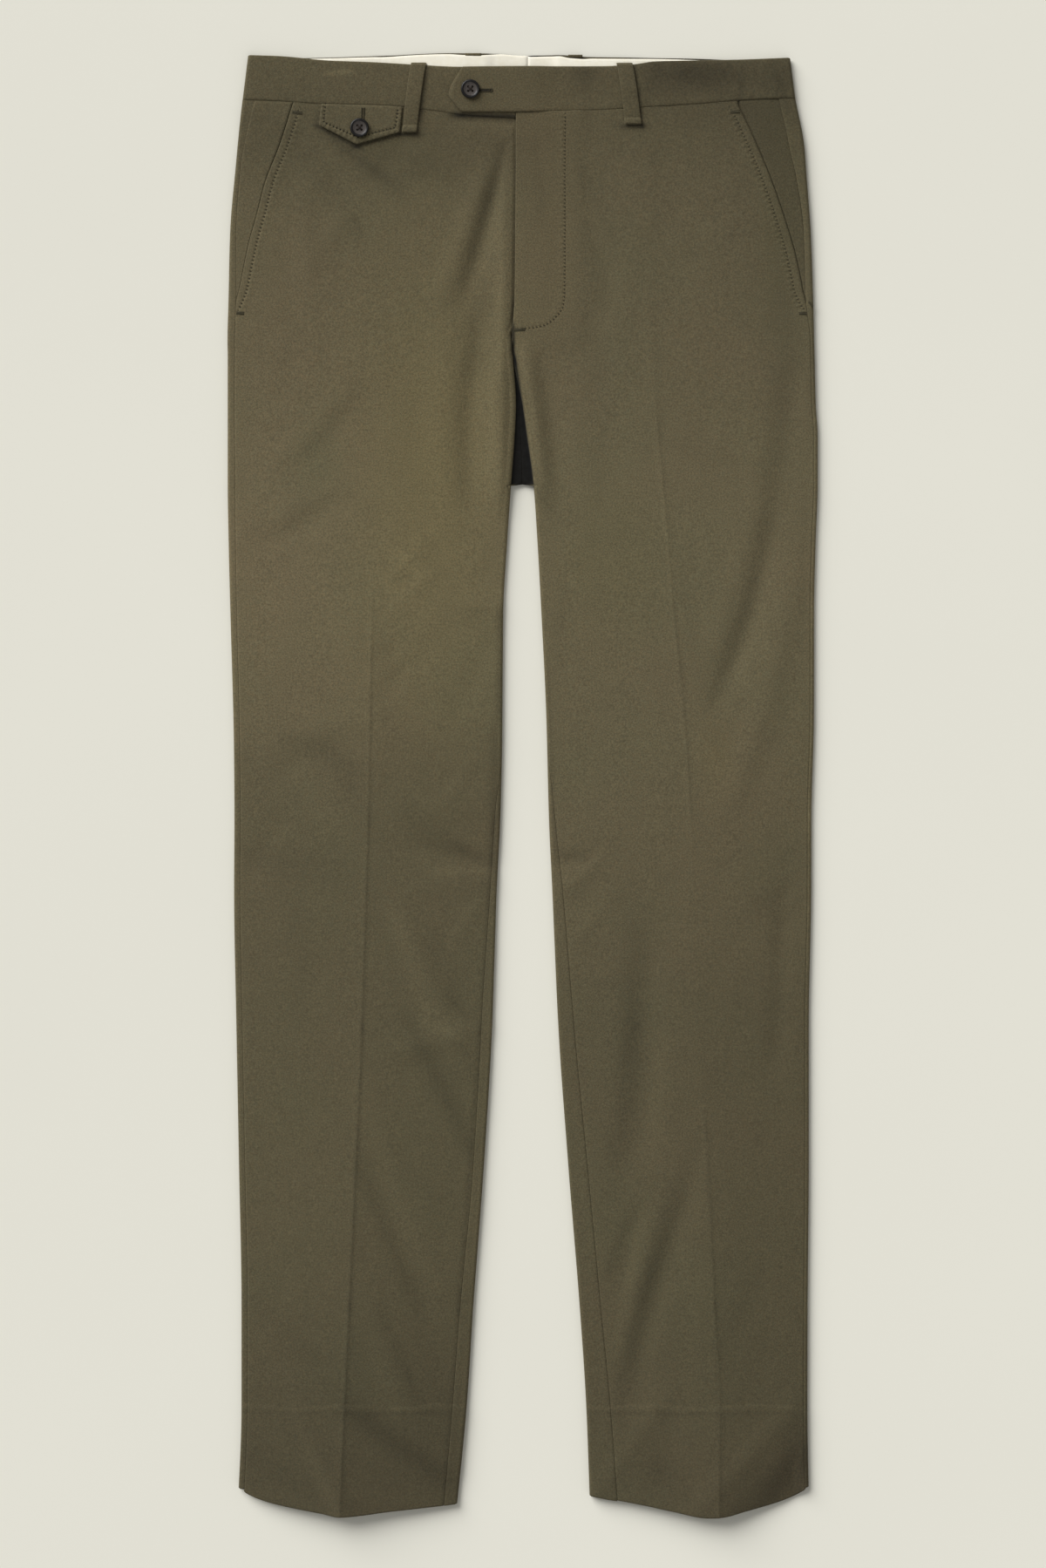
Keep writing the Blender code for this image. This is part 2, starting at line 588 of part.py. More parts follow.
def make_waistband(side, finish):
    """A waistband half, from the centre back round the side to the centre front."""
    outer, inner = [], []
    for share in (0.0, 0.18, 0.38, 0.55, 0.8, 1.0):
        line = band_contour(side, share)
        outer_row, inner_row = [], []
        for number, (across, z, behind) in enumerate(line):
            before, after = line[max(0, number - 1)], line[min(len(line) - 1, number + 1)]
            run = np.array([after[0] - before[0], after[1] - before[1]])
            run /= np.linalg.norm(run)
            low = float(smooth(WAIST_SEAM_BACK[side], across)) * behind
            low += float(smooth(WAIST_SEAM[side], across)) * (1 - behind)
            high = float(smooth(WAIST_TOP_BACK[side], across)) * behind
            high += float(smooth(WAIST_TOP_FRONT[side], across)) * (1 - behind)
            y = low + GAP / 2 + (high - low - GAP / 2) * share
            lift = back_lift(across, y) if behind == 1.0 else 0.0
            inside = np.array([across, z]) + BAND_CLOTH * np.array([-run[1], run[0]])
            outer_row.append((across * OUTWARD[side], y, z + lift))
            inner_row.append((inside[0] * OUTWARD[side], y, inside[1] + lift))
        outer.append(outer_row)
        inner.append(inner_row)
    return make_wall("waistband_" + side, outer, inner, finish)


def make_waistband_lining(side, finish):
    """The lining inside the back waistband: its two halves meet a little to the left of the middle."""
    begin = (LINING_SEAM - GAP / 2) if side == "right" else (LINING_SEAM + GAP / 2)
    begin *= OUTWARD[side]
    end = BAND_SIDES[side][1] - LINING_END
    places = (begin, *LIFT_ACROSS, 150.0, end)
    outer, inner = [], []
    for share in (0.0, 0.33, 0.66, 1.0):
        top_row, under_row = [], []
        for across in places:
            inside = abs(across)
            low = float(smooth(WAIST_SEAM_BACK[side], inside)) + 1.0
            high = float(smooth(WAIST_TOP_BACK[side], inside)) - 1.0
            y = low + (high - low) * share
            z = LINING_TOP + back_lift(across, y)
            top_row.append((across * OUTWARD[side], y, z))
            under_row.append((across * OUTWARD[side], y, z - LINING_CLOTH))
        outer.append(top_row)
        inner.append(under_row)
    return make_wall("waistband_lining_" + side, outer, inner, finish)


def make_front_loop(side, finish):
    """A belt loop that bows a little off the waistband, with its lower end turned under."""
    (x0, y0), (x1, y1), wide, narrow = FRONT_LOOPS[side]
    outer, inner = [], []
    for share in (0.0, 0.06, 0.25, 0.5, 0.75, 0.92, 0.93, 1.0):
        middle = x0 + (x1 - x0) * (share**0.8)
        half = (wide + (narrow - wide) * share) / 2
        y = y0 + (y1 - y0) * share
        turned_under = share > 0.925
        wall = 2 * LOOP_CLOTH if turned_under else LOOP_CLOTH
        seat = BAND_TOP + GAP + FRONT_LOOP_BOW * math.sin(math.pi * min(1.0, share / 0.92))
        z = seat + LOOP_CLOTH + (LOOP_CLOTH if turned_under else 0.0)
        across = (-half, -0.5 * half, 0.5 * half, half)
        outer.append([(middle + a, y, z) for a in across])
        inner.append([(middle + a, y, z - wall) for a in across])
    return make_wall("belt_loop_front_" + side, outer, inner, finish)


def make_back_loop(side, finish):
    """A belt loop pressed flat under the back waistband, turned over its upper edge."""
    middle, top, width = BACK_LOOPS[side]
    outer, inner = [], []
    for y in (top, top - 1.0, top - BACK_LOOP_LENGTH / 2, top - BACK_LOOP_LENGTH):
        outer.append([(middle - width / 2, y, LOOP_CLOTH), (middle + width / 2, y, LOOP_CLOTH)])
        inner.append([(middle - width / 2, y, 0.0), (middle + width / 2, y, 0.0)])
    return make_wall("belt_loop_back_" + side, outer, inner, finish)


def flap_height(share):
    """How far the flap's underside stands off the front, from its seam (0) to its lower edge (1)."""
    return GAP + FLAP_LIFT * share**1.5


def make_ticket_flap(finish):
    """The pointed flap of the ticket pocket, on the right front below the waistband."""
    lower = [(-across, level) for across, level in FLAP_BOTTOM]
    outer, inner = [], []
    for share in (0.0, 0.25, 0.5, 0.75, 1.0):
        top_row, under_row = [], []
        for column in range(11):
            t = column / 10
            x_top = -FLAP_TOP[0] + (FLAP_TOP[0] - FLAP_TOP[1]) * t
            first, point, last = lower
            start, end, part = (first, point, t * 2) if t <= 0.5 else (point, last, t * 2 - 1)
            x_low = start[0] + (end[0] - start[0]) * part
            y_low = start[1] + (end[1] - start[1]) * part
            y_top = float(smooth(WAIST_SEAM["right"], -x_top)) - GAP
            x = x_top + (x_low - x_top) * share
            y = y_top + (y_low - y_top) * share
            z = float(top_height("right", -x, y)) + flap_height(share) + CLOTH
            top_row.append((x, y, z))
            under_row.append((x, y, z - CLOTH))
        outer.append(top_row)
        inner.append(under_row)
    return make_wall("ticket_flap", outer, inner, finish)


def hide(helper):
    helper.hide_render = True
    helper.display_type = "WIRE"


def make_button(name, place, seat, finish):
    """A dished four-hole button: a turned profile with its holes cut through."""
    profile = (
        (0.0, 0.0), (0.74, 0.0), (1.0, 0.42), (1.0, 0.66), (0.94, 0.92), (0.84, 1.0), (0.74, 0.9),
        (0.62, 0.62), (0.0, 0.54),
    )
    body = bmesh.new()
    line = [body.verts.new((r * BUTTON_RADIUS * MM, 0, z * BUTTON_HEIGHT * MM)) for r, z in profile]
    edges = [body.edges.new(pair) for pair in zip(line, line[1:])]
    bmesh.ops.spin(
        body, geom=line + edges, cent=(0, 0, 0), axis=(0, 0, 1), angle=2 * math.pi,
        steps=BUTTON_SIDES, use_merge=True,
    )
    bmesh.ops.remove_doubles(body, verts=body.verts, dist=1e-6)
    bmesh.ops.recalc_face_normals(body, faces=body.faces)
    mesh = bpy.data.meshes.new(name)
    body.to_mesh(mesh)
    body.free()
    mesh.shade_smooth()
    mesh.set_sharp_from_angle(angle=math.radians(50))
    mesh.materials.append(finish)
    button = bpy.data.objects.new(name, mesh)
    button.location = (place[0] * MM, place[1] * MM, seat * MM)
    bpy.context.scene.collection.objects.link(button)
    for number in range(4):
        angle = math.radians(45 + 90 * number)
        reach = BUTTON_HOLE_OFFSET * math.sqrt(2)
        bpy.ops.mesh.primitive_cylinder_add(
            vertices=8, radius=BUTTON_HOLE_RADIUS * MM, depth=4 * BUTTON_HEIGHT * MM,
            location=(
                (place[0] + reach * math.cos(angle)) * MM,
                (place[1] + reach * math.sin(angle)) * MM,
                (seat + BUTTON_HEIGHT / 2) * MM,
            ),
        )
        cutter = bpy.context.active_object
        cutter.name = f"{name}_hole_{number}"
        hide(cutter)
        cut = button.modifiers.new("hole", "BOOLEAN")
        cut.operation = "DIFFERENCE"
        cut.object = cutter
    return button


def make_plate(name, low, high, finish):
    """A flat rectangular piece between two corners."""
    (x0, y0, z0), (x1, y1, z1) = low, high
    outer = [[(x0, y, z1), (x1, y, z1)] for y in (y0, y1)]
    inner = [[(x0, y, z0), (x1, y, z0)] for y in (y0, y1)]
    return make_wall(name, outer, inner, finish)


def make_fly(cloth, brass):
    """The underlap below the fly, and the closed zip with its slider at the top."""
    (x0, y0), (x1, y1) = UNDERLAP_BOX
    make_plate("fly_underlap", (x0, y0, CLOTH + GAP), (x1, y1, CLOTH + GAP + 1.0), cloth)
    bottom, top = ZIP_LEVELS
    left, right = ZIP_SPAN
    levels = (bottom, top - SLIDER_LENGTH - 1.0, top - SLIDER_LENGTH, top)
    outer, inner = [], []
    for level in levels:
        inset = 0.0 if level < top - SLIDER_LENGTH - 0.5 else SLIDER_INSET
        outer.append([(x, level, ZIP_HEIGHTS[1]) for x in (left + inset, right - inset)])
        inner.append([(x, level, ZIP_HEIGHTS[0]) for x in (left + inset, right - inset)])
    make_wall("fly_zip", outer, inner, brass)


def clear_scene():
    for found in list(bpy.data.objects):
        bpy.data.objects.remove(found)


def main():
    clear_scene()
    olive = material("olive_cloth", OLIVE, 0.85)
    cream = material("cream_lining", CREAM, 0.8)
    brown = material("button", BUTTON_BROWN, 0.3)
    brass = material("zip_brass", ZIP_BRASS, 0.35, metallic=1.0)
    for side in ("right", "left"):
        make_front(side, olive)
        make_back(side, olive)
        make_facing(side, olive)
        make_waistband(side, olive)
        make_waistband_lining(side, cream)
        make_front_loop(side, olive)
        make_back_loop(side, olive)
    make_ticket_flap(olive)
    flap_seat = float(top_height("right", -FLAP_BUTTON[0], FLAP_BUTTON[1]))
    make_button("button_flap", FLAP_BUTTON, flap_seat + CLOTH + 2 * GAP + FLAP_LIFT * 0.6, brown)
    make_button("button_waist", WAIST_BUTTON, TAB_TOP + GAP, brown)
    make_fly(olive, brass)


main()
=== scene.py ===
"""Looks of the dress trousers, laid flat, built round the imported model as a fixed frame.

Sizes in the tables are millimetres. "across" is the distance from the middle line, positive towards
the leg's own side, and "level" is the height along Y. Right and left are the wearer's, so the right
leg is at -X. The tables of the cut are the same as in part.py, and the finer folds come on top.
"""

import functools
import math

import bmesh
import bpy
import numpy as np
from mathutils import Matrix, Vector


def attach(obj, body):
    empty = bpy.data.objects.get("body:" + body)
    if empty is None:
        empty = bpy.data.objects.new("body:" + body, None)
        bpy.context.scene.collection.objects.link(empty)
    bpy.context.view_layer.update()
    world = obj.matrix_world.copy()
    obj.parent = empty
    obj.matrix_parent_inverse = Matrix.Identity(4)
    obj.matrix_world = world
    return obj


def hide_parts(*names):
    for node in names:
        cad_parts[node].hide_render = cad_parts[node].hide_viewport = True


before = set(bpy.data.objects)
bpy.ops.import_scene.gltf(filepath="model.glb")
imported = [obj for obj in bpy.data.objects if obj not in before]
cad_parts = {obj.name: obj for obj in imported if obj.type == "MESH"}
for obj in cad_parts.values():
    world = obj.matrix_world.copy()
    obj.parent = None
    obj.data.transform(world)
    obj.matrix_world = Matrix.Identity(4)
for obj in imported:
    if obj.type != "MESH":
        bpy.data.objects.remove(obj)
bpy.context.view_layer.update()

MM = 0.001

# Walls, in the order in which the layers lie on each other.
CLOTH = 1.2
HEM_CLOTH = 2.0
BAND_CLOTH = 1.4
LINING_CLOTH = 1.0
FACING_CLOTH = 1.0
LOOP_CLOTH = 1.0
GAP = 0.3

# Heights of the outer face of each layer at the waist.
BAND_TOP = 5.8
TAB_TOP = BAND_TOP + GAP + BAND_CLOTH
LINING_TOP = BAND_CLOTH + GAP + LINING_CLOTH
LOOP_LIFT = LOOP_CLOTH + GAP
UNDERLAP_TOP = 4.6
FLY_TOP = UNDERLAP_TOP + GAP + CLOTH

# Levels where a front changes from one shape to the next.
WAIST_LEVEL = 548.0
FLY_END_LEFT = 357.0
FLY_END_RIGHT = 372.0
FORK_LEVEL = 242.3
FORK_STEP = 1.4
HEM_LEVEL = -575.0
HEM_TURN_UP = -498.0
BLEND_LENGTH = 80.0

# How sharply the crease is pressed: level and the height of its ridge.
CREASE_PRESS = {
    "right": ((190, 0.0), (110, 0.42), (-590, 0.42)),
    "left": (
        (340, 0.0), (280, 0.42), (40, 0.40), (-20, 0.28), (-70, 0.06), (-230, 0.06), (-300, 0.2), (-420, 0.4),
        (-590, 0.42),
    ),
}

FLOOR_TOP = CLOTH + GAP + CLOTH
FOOT_RADIUS = 1.0
SIDE_TURN = 2.6
UNDERLAP_WIDTH = 8.0
FLY_WIDTH = 40.0
FACING_OVERLAP = 10.0
FACING_TUCK = {"right": 0.45, "left": 1.5}
FACING_SINK = {"right": 0.0, "left": 0.5}
# How light each pocket facing is painted: the left one is darkened as painted shade, lying low under the
# pocket's edge.
FACING_PAINTED_SHADE = {"right": 1.0, "left": 0.82}
POCKET_DIP = {"right": 0.0, "left": 0.35}
SIDE_SEAM_DIP = {"right": 0.10, "left": 0.32}
SIDE_SEAM_DIP_BELOW = 0.07

BAND_TURN = 2.9
BAND_SIDES = {"right": (225.0, 220.6), "left": (219.2, 215.0)}
BAND_END_RIGHT = 5.7
# Rows of the waistband as shares of its height, close at its edges.
BAND_ROWS = (
    0.0, 0.03, 0.08, 0.14, 0.2, 0.27, 0.34, 0.41, 0.48, 0.55, 0.62, 0.69, 0.76, 0.83, 0.9, 0.95, 0.98, 1.0,
)
LINING_SEAM = 4.2
LINING_END = 8.0

SIDES = ("right", "left")
OUTWARD = {"right": -1.0, "left": 1.0}

# One row for each section of a leg, from the waist to the hem. side_seam and inseam are how far the
# seams lie inside the edges, turn is the width of the roll at the inner edge, edge is the height of
# the edges, rise is how much higher the crease is, and roundness 1 is a tent and 2 a dome.
SECTION_COLUMNS = (
    "level", "outer", "side_seam", "crease", "inner", "turn", "inseam", "edge", "rise", "roundness",
)
SECTIONS = {
    "right": (
        (552, 225.0, 10.4, 112.0, 5.3, 3.0, 0.0, 5.4, 0.0, 2.0),
        (533, 227.2, 8.0, 113.0, 5.3, 3.0, 0.0, 5.4, 0.0, 2.0),
        (496, 230.7, 4.2, 114.0, 5.4, 4.0, 0.0, 5.3, 0.1, 2.0),
        (446, 235.0, 4.9, 116.0, 5.7, 5.0, 0.0, 5.2, 0.3, 2.0),
        (390, 236.4, 6.2, 117.0, 6.2, 5.0, 0.0, 5.0, 0.5, 2.0),
        (357, 237.2, 6.1, 118.0, 8.3, 5.0, 0.0, 5.0, 0.6, 2.0),
        (346, 237.0, 5.9, 118.0, 7.8, 5.0, 0.0, 5.0, 0.7, 2.0),
        (306, 237.0, 5.5, 118.0, 5.1, 5.0, 0.0, 4.9, 1.0, 2.0),
        (281, 237.0, 5.8, 118.0, 6.2, 5.0, 0.0, 4.8, 1.2, 2.0),
        (242, 237.0, 6.1, 118.0, 9.2, 4.5, 0.0, 4.8, 1.6, 2.0),
        (197, 236.3, 5.8, 119.0, 12.3, 3.5, 0.0, 4.7, 2.0, 1.9),
        (141, 234.9, 5.3, 121.0, 15.5, 2.8, 0.0, 4.6, 2.6, 1.8),
        (29, 232.0, 5.0, 123.0, 16.5, 2.6, 0.0, 4.6, 3.6, 1.6),
        (-27, 231.6, 5.0, 124.0, 17.9, 2.6, 4.5, 4.6, 4.0, 1.5),
        (-83, 231.9, 5.0, 125.7, 20.7, 2.6, 5.2, 4.6, 4.4, 1.4),
        (-195, 230.0, 5.0, 129.2, 24.5, 2.6, 8.7, 4.7, 5.2, 1.3),
        (-307, 227.9, 5.0, 134.0, 31.2, 2.6, 8.5, 4.8, 6.0, 1.2),
        (-419, 225.9, 5.0, 139.3, 39.6, 2.6, 10.5, 4.9, 6.8, 1.15),
        (-498, 225.9, 4.9, 143.0, 44.8, 2.6, 11.4, 5.0, 7.6, 1.1),
        (-590, 229.3, 4.7, 146.5, 53.9, 2.6, 10.3, 5.2, 8.6, 1.1),
    ),
    "left": (
        (552, 219.2, 13.4, 98.0, -5.0, 3.0, 0.0, 5.4, 0.0, 2.0),
        (514, 226.4, 12.3, 99.0, -5.0, 3.0, 0.0, 5.4, 0.1, 2.0),
        (491, 228.2, 8.6, 100.0, -5.1, 4.0, 0.0, 5.3, 0.2, 2.0),
        (446, 231.5, 5.6, 101.0, -5.4, 4.5, 0.0, 5.2, 0.3, 2.0),
        (394, 233.5, 6.0, 103.0, -5.9, 4.5, 0.0, 5.0, 0.5, 2.0),
        (357, 234.4, 3.1, 104.0, -8.0, 4.5, 0.0, 5.0, 0.6, 2.0),
        (346, 234.7, 3.1, 104.5, -7.5, 4.5, 0.0, 5.0, 0.7, 2.0),
        (306, 235.7, 3.1, 107.0, 0.1, 4.5, 0.0, 4.9, 1.0, 2.0),
        (281, 237.2, 3.1, 109.0, 3.6, 4.5, 0.0, 4.8, 1.2, 2.0),
        (242, 237.2, 3.1, 112.4, 8.8, 4.0, 0.0, 4.8, 1.6, 2.0),
        (197, 235.6, 3.1, 116.5, 11.9, 3.5, 0.0, 4.7, 2.0, 1.9),
        (141, 234.3, 3.1, 121.0, 15.0, 2.8, 0.0, 4.6, 2.6, 1.8),
        (57, 234.2, 3.1, 129.5, 19.0, 2.6, 0.0, 4.6, 3.3, 1.6),
        (-27, 232.1, 3.1, 135.0, 21.2, 2.6, 5.0, 4.6, 4.0, 1.5),
        (-83, 232.0, 3.1, 137.0, 23.8, 2.6, 8.4, 4.6, 4.4, 1.4),
        (-195, 230.0, 3.1, 141.5, 28.8, 2.6, 12.8, 4.7, 5.2, 1.3),
        (-307, 230.0, 3.1, 148.8, 36.8, 2.6, 15.6, 4.8, 6.0, 1.2),
        (-419, 229.1, 3.1, 153.7, 45.9, 2.6, 17.1, 4.9, 6.8, 1.15),
        (-498, 228.9, 3.1, 157.9, 51.1, 2.6, 19.5, 5.0, 7.6, 1.1),
        (-590, 230.5, 3.1, 157.2, 54.5, 2.6, 23.0, 5.2, 8.6, 1.1),
    ),
}

# The slant pocket's edge: level and across.
POCKET_EDGE = {
    "right": ((549, 183.8), (514, 195.0), (485, 206.4), (458, 213.5), (436, 219.7), (401, 226.9)),
    "left": ((547, 172.8), (526, 182.8), (491, 197.8), (469, 205.9), (429, 218.3), (404, 223.9)),
}
POCKET_END = 386.0
POCKET_RUN_OUT = 6.0

# Edges of the waistband and the hem: across and level.
WAIST_SEAM = {
    "right": ((225, 551.0), (195, 550.0), (163, 547.6), (110, 546.0), (70, 542.0), (49, 539.0), (6, 536.3)),
    "left": ((219, 552.2), (194, 551.8), (140, 547.6), (105, 545.4), (60, 542.8), (-5, 541.1)),
}
WAIST_SEAM_BACK = {
    "right": ((225, 551.0), (195, 550.0), (150, 549.8), (0, 551.4)),
    "left": ((219, 552.2), (194, 551.8), (150, 550.6), (0, 551.4)),
}
WAIST_TOP_FRONT = {
    "right": ((221, 586.5), (196, 585.7), (156, 582.1), (119, 580.7), (90, 579.0), (56, 577.2), (5, 576.6)),
    "left": ((215, 584.4), (174, 582.8), (107, 581.4), (89, 579.0), (64, 577.5), (5, 577.4), (-48, 577.0)),
}
WAIST_TOP_BACK = {
    "right": ((221, 586.5), (181, 584.7), (110, 586.6), (56, 588.4), (20, 588.1), (0, 586.5)),
    "left": ((215, 584.4), (174, 583.0), (140, 584.2), (107, 584.7), (53, 585.4), (28, 587.0), (0, 586.5)),
}
HEM_EDGE = {
    "right": (
        (229, -564.0), (215, -571.0), (200, -575.5), (180, -579.5), (160, -583.0), (147, -585.5),
        (104, -581.5), (53, -576.5),
    ),
    "left": (
        (230, -563.0), (215, -571.5), (200, -576.5), (180, -581.5), (160, -586.0), (150, -586.5),
        (120, -581.5),
        (100, -577.5), (78, -573.5), (54, -570.0),
    ),
}
HEM_EDGE_BACK = {
    "right": ((229, -564.0), (150, -570.0), (68, -577.8), (53, -576.5)),
    "left": ((230, -563.0), (150, -570.0), (80, -573.8), (54, -570.0)),
}

# Long folds that bend: rows of (level, x, width, height), where a trough has a height below 0.
TRAILS = {
    "right": (
        (
            (485, -14, 6, 0), (430, -15, 7, 1.8), (360, -16, 7, 2.9), (300, -18, 8, 3.6), (245, -18, 8, 3.0),
            (215, -18, 8, 0),
        ),
        (
            (522, -12, 4, 0), (508, -16, 4.5, -0.9), (491, -20, 5, -1.9), (470, -24.5, 6, -2.8),
            (440, -31.5, 7, -2.9), (410, -39.5, 7.5, -2.2), (375, -47, 8, 0),
        ),
        ((515, -18, 7, 0), (480, -34, 8, 1.0), (440, -48, 8, 1.2), (405, -60, 9, 1.1), (375, -68, 10, 0)),
        (
            (400, -40, 6, 0), (360, -37, 6, -1.5), (320, -40, 8, -1.7), (280, -43, 8, -1.7),
            (250, -43, 8, -1.2), (210, -42, 8, 0),
        ),
        ((385, -66, 12, 0), (330, -62, 13, 1.3), (280, -62, 13, 1.4), (235, -60, 12, 0.9), (185, -58, 12, 0)),
    ),
    "left": (
        ((375, 1, 6, 0), (345, 4, 7, 2.8), (300, 10, 7, 3.2), (250, 16, 8, 2.8), (220, 19, 8, 0)),
        ((350, 16, 6, 0), (310, 22, 7, -0.6), (260, 25, 7, -0.8), (225, 29, 7, 0)),
        ((350, 45, 12, 0), (290, 46, 13, 0.8), (230, 48, 13, 0.6), (180, 50, 12, 0)),
        ((495, 48, 7, 0), (460, 56, 8, -0.8), (420, 66, 8, -1.0), (390, 70, 8, -0.6), (365, 70, 8, 0)),
        ((490, 34, 8, 0), (450, 42, 9, 0.5), (410, 50, 9, 0.4), (375, 50, 9, 0)),
        ((400, 60, 8, 0), (370, 61, 9, -0.6), (330, 60, 9, -0.5), (300, 60, 9, 0)),
        (
            (345, 220, 10, 0), (310, 214, 11, -1.3), (240, 206, 11, -1.8), (200, 199, 11, -2.0),
            (150, 188, 10, -2.2),
            (100, 171, 9, -2.2), (75, 161, 8, -1.4), (48, 153, 8, 0),
        ),
        (
            (215, 226, 10, 0), (150, 216, 12, 1.0), (100, 203, 13, 1.6), (50, 188, 13, 1.6),
            (0, 172, 12, 0.9), (-35, 160, 12, 0),
        ),
        ((300, 196, 12, 0), (200, 182, 12, 0.8), (130, 160, 12, 0.8), (88, 146, 10, 0)),
        (
            (-100, 104, 12, 0), (-160, 99, 13, -1.5), (-210, 98, 13, -1.7), (-260, 95, 12, -1.6),
            (-305, 87, 10, -0.9), (-335, 82, 9, 0),
        ),
        (
            (-60, 214, 8, 0), (-100, 209, 8, -0.9), (-150, 207, 8, -0.9), (-205, 205, 9, -0.9),
            (-250, 203, 9, 0),
        ),
        (
            (-280, 143, 8, 0), (-335, 131, 10, -1.4), (-372, 119, 12, -1.9), (-402, 110, 12, -1.9),
            (-435, 101, 11, -1.7),
            (-465, 94, 9, -1.2), (-520, 84, 9, 0),
        ),
        ((-310, 119, 8, 0), (-372, 103, 9, 1.0), (-402, 93, 9, 1.3), (-435, 85, 9, 1.1), (-475, 78, 8, 0)),
        ((-335, 96, 6, 0), (-362, 86, 6, -0.8), (-390, 80, 6, -0.8), (-415, 76, 6, 0)),
    ),
}

# Short folds: x and y of both ends, width, height.
FOLDS = {
    "right": (
        (-146, 292, -166, 268, 10, -0.8),
        (-152, 305, -175, 280, 10, 0.4),
        (-170, 214, -190, 204, 9, -0.7),
        (-172, 228, -195, 216, 9, 0.3),
        (-144, 452, -136, 464, 9, 0.45),
        (-168, 484, -158, 498, 9, 0.4),
        (-161, 434, -154, 446, 8, 0.35),
        (-173, 440, -171, 400, 8, 0.8),
        (-104, 506, -118, 490, 8, -0.6),
        (-46, 535, -9, 533, 3.5, -0.9),
        (-100, 172, -84, 190, 7, 0.6),
        (-98, 145, -86, 158, 6, 0.5),
        (-42, 145, -18, 142, 4.5, 0.6),
        (-86, 100, -104, 82, 7, -0.6),
        (-33, 98, -46, 70, 8, -0.5),
        (-104, 108, -116, 100, 6, -0.4),
        (-178, 18, -156, 26, 9, -0.6),
        (-172, 42, -150, 48, 10, 0.5),
        (-200, -40, -212, -60, 9, -0.5),
        (-168, -62, -150, -66, 8, -0.4),
        (-45, 10, -56, -6, 4, 0.5),
        (-74, -52, -40, -60, 7, -1.2),
        (-66, -80, -42, -78, 8, 0.5),
        (-84, -18, -50, -14, 14, 0.5),
        (-50, -118, -40, -104, 5, 0.4),
        (-90, -118, -54, -203, 10, 1.5),
        (-80, -208, -42, -197, 8, 0.9),
        (-162, -156, -140, -182, 3, -0.25),
        (-114, -325, -82, -408, 9, -1.2),
        (-116, -430, -98, -480, 9, 0.9),
        (-176, -505, -147, -575, 9, 1.0),
        (-122, -512, -72, -552, 10, -1.6),
        (-88, -508, -66, -536, 7, 0.6),
    ),
    "left": (
        (20, 232, 32, 206, 4, -0.7),
        (12, 545, 30, 470, 8, 0.4),
        (92, 480, 92, 420, 9, 0.4),
        (34, -62, 46, -58, 5, -0.8),
        (38, -77, 50, -69, 5, 0.6),
        (50, -118, 66, -94, 6, 0.5),
        (66, -562, 106, -503, 8, 0.9),
        (108, -560, 120, -520, 9, -0.5),
        (158, -562, 206, -512, 9, 1.0),
        (188, -594, 240, -546, 20, -4.2),
    ),
}

# Soft bumps and hollows of the waistband's front, in the same columns.
BAND_FOLDS = (
    (103, 566, 102, 548, 3.5, -0.25),
    (112, 568, 168, 560, 8, -0.3),
    (46, 570, 46, 545, 8, -0.25),
    (171.5, 560, 170.5, 553, 3.2, 0.16),
    (177.0, 560, 176.0, 552, 3.2, -0.18),
    (204.0, 560, 203.0, 552, 3.4, 0.15),
    (210.5, 560, 209.5, 551, 3.4, -0.2),
)

# Belt loops: the middle of the upper and lower end, and the width there.
FRONT_LOOPS = {
    "right": ((-83.4, 579.6), (-90.8, 525.0), 12.0, 11.0),
    "left": ((81.8, 579.6), (88.9, 531.5), 12.4, 12.6),
}
FRONT_LOOP_BOW = 1.2
FRONT_LOOP_TACK = 0.92
BACK_LOOPS = {"right": (-39.6, 588.9, 12.6), "left": (42.4, 587.6, 11.0)}
BACK_LOOP_LENGTH = 55.0
LOOP_FOOT = 527.0
LIFT_ACROSS = (22.0, 31.0, 76.0, 112.0)

# The ticket pocket's flap: across of its left and right edge, and the level of its lower corners.
FLAP_TOP = (161.5, 96.5)
FLAP_BOTTOM = ((163.0, 530.3), (133.4, 515.0), (99.0, 524.7))
FLAP_LIFT = 1.3
FLAP_BUTTON = (-130.8, 527.8)
WAIST_BUTTON = (-41.9, 559.0)

# The tab's end: share of the band's height, and across.
TAB_END = ((0.0, -48.9), (0.18, -54.5), (0.38, -58.9), (0.55, -57.6), (0.8, -52.5), (1.0, -48.2))

BUTTON_RADIUS = 7.6
BUTTON_HEIGHT = 2.6
BUTTON_HOLE_RADIUS = 0.9
BUTTON_HOLE_OFFSET = 1.7

# Sewing: x and y of the lines that show.
FLY_STITCH = (
    (34.2, 538), (33.9, 500), (33.9, 416), (33.6, 395.2), (32.3, 384), (29.3, 379), (24.2, 373.8),
    (18.6, 370), (11.1, 367.9), (-3.0, 366.6),
)
POCKET_STITCH_INSET = {"right": 6.2, "left": 6.8}
POCKET_STITCH_LEVELS = {"right": (383.0, 541.0), "left": (383.0, 541.5)}
# Between these levels the pocket's line of stitches runs out to the edge.
POCKET_STITCH_RUN_OUT = (372.0, 396.0)
# How hard each line of stitches pinches the cloth, and how dark the painted shade of its needle holes is.
POCKET_PINCH = 1.6
FLY_PINCH = 1.1
FLAP_PINCH = 1.9
# Buttonholes: x and y of the first stitch, and x of the keyhole's eye.
HOLE_PITCH = 0.36
FLAP_HOLE = (-128.2, 535.0)
TAB_HOLE = (-35.0, 558.0)
TAB_HOLE_EYE = -25.4
SEWN_PIECES = ("front_", "ticket_flap")
STITCH_PITCH = 3.0
TACK_PITCH = 0.5
THREAD_RADIUS = 0.17
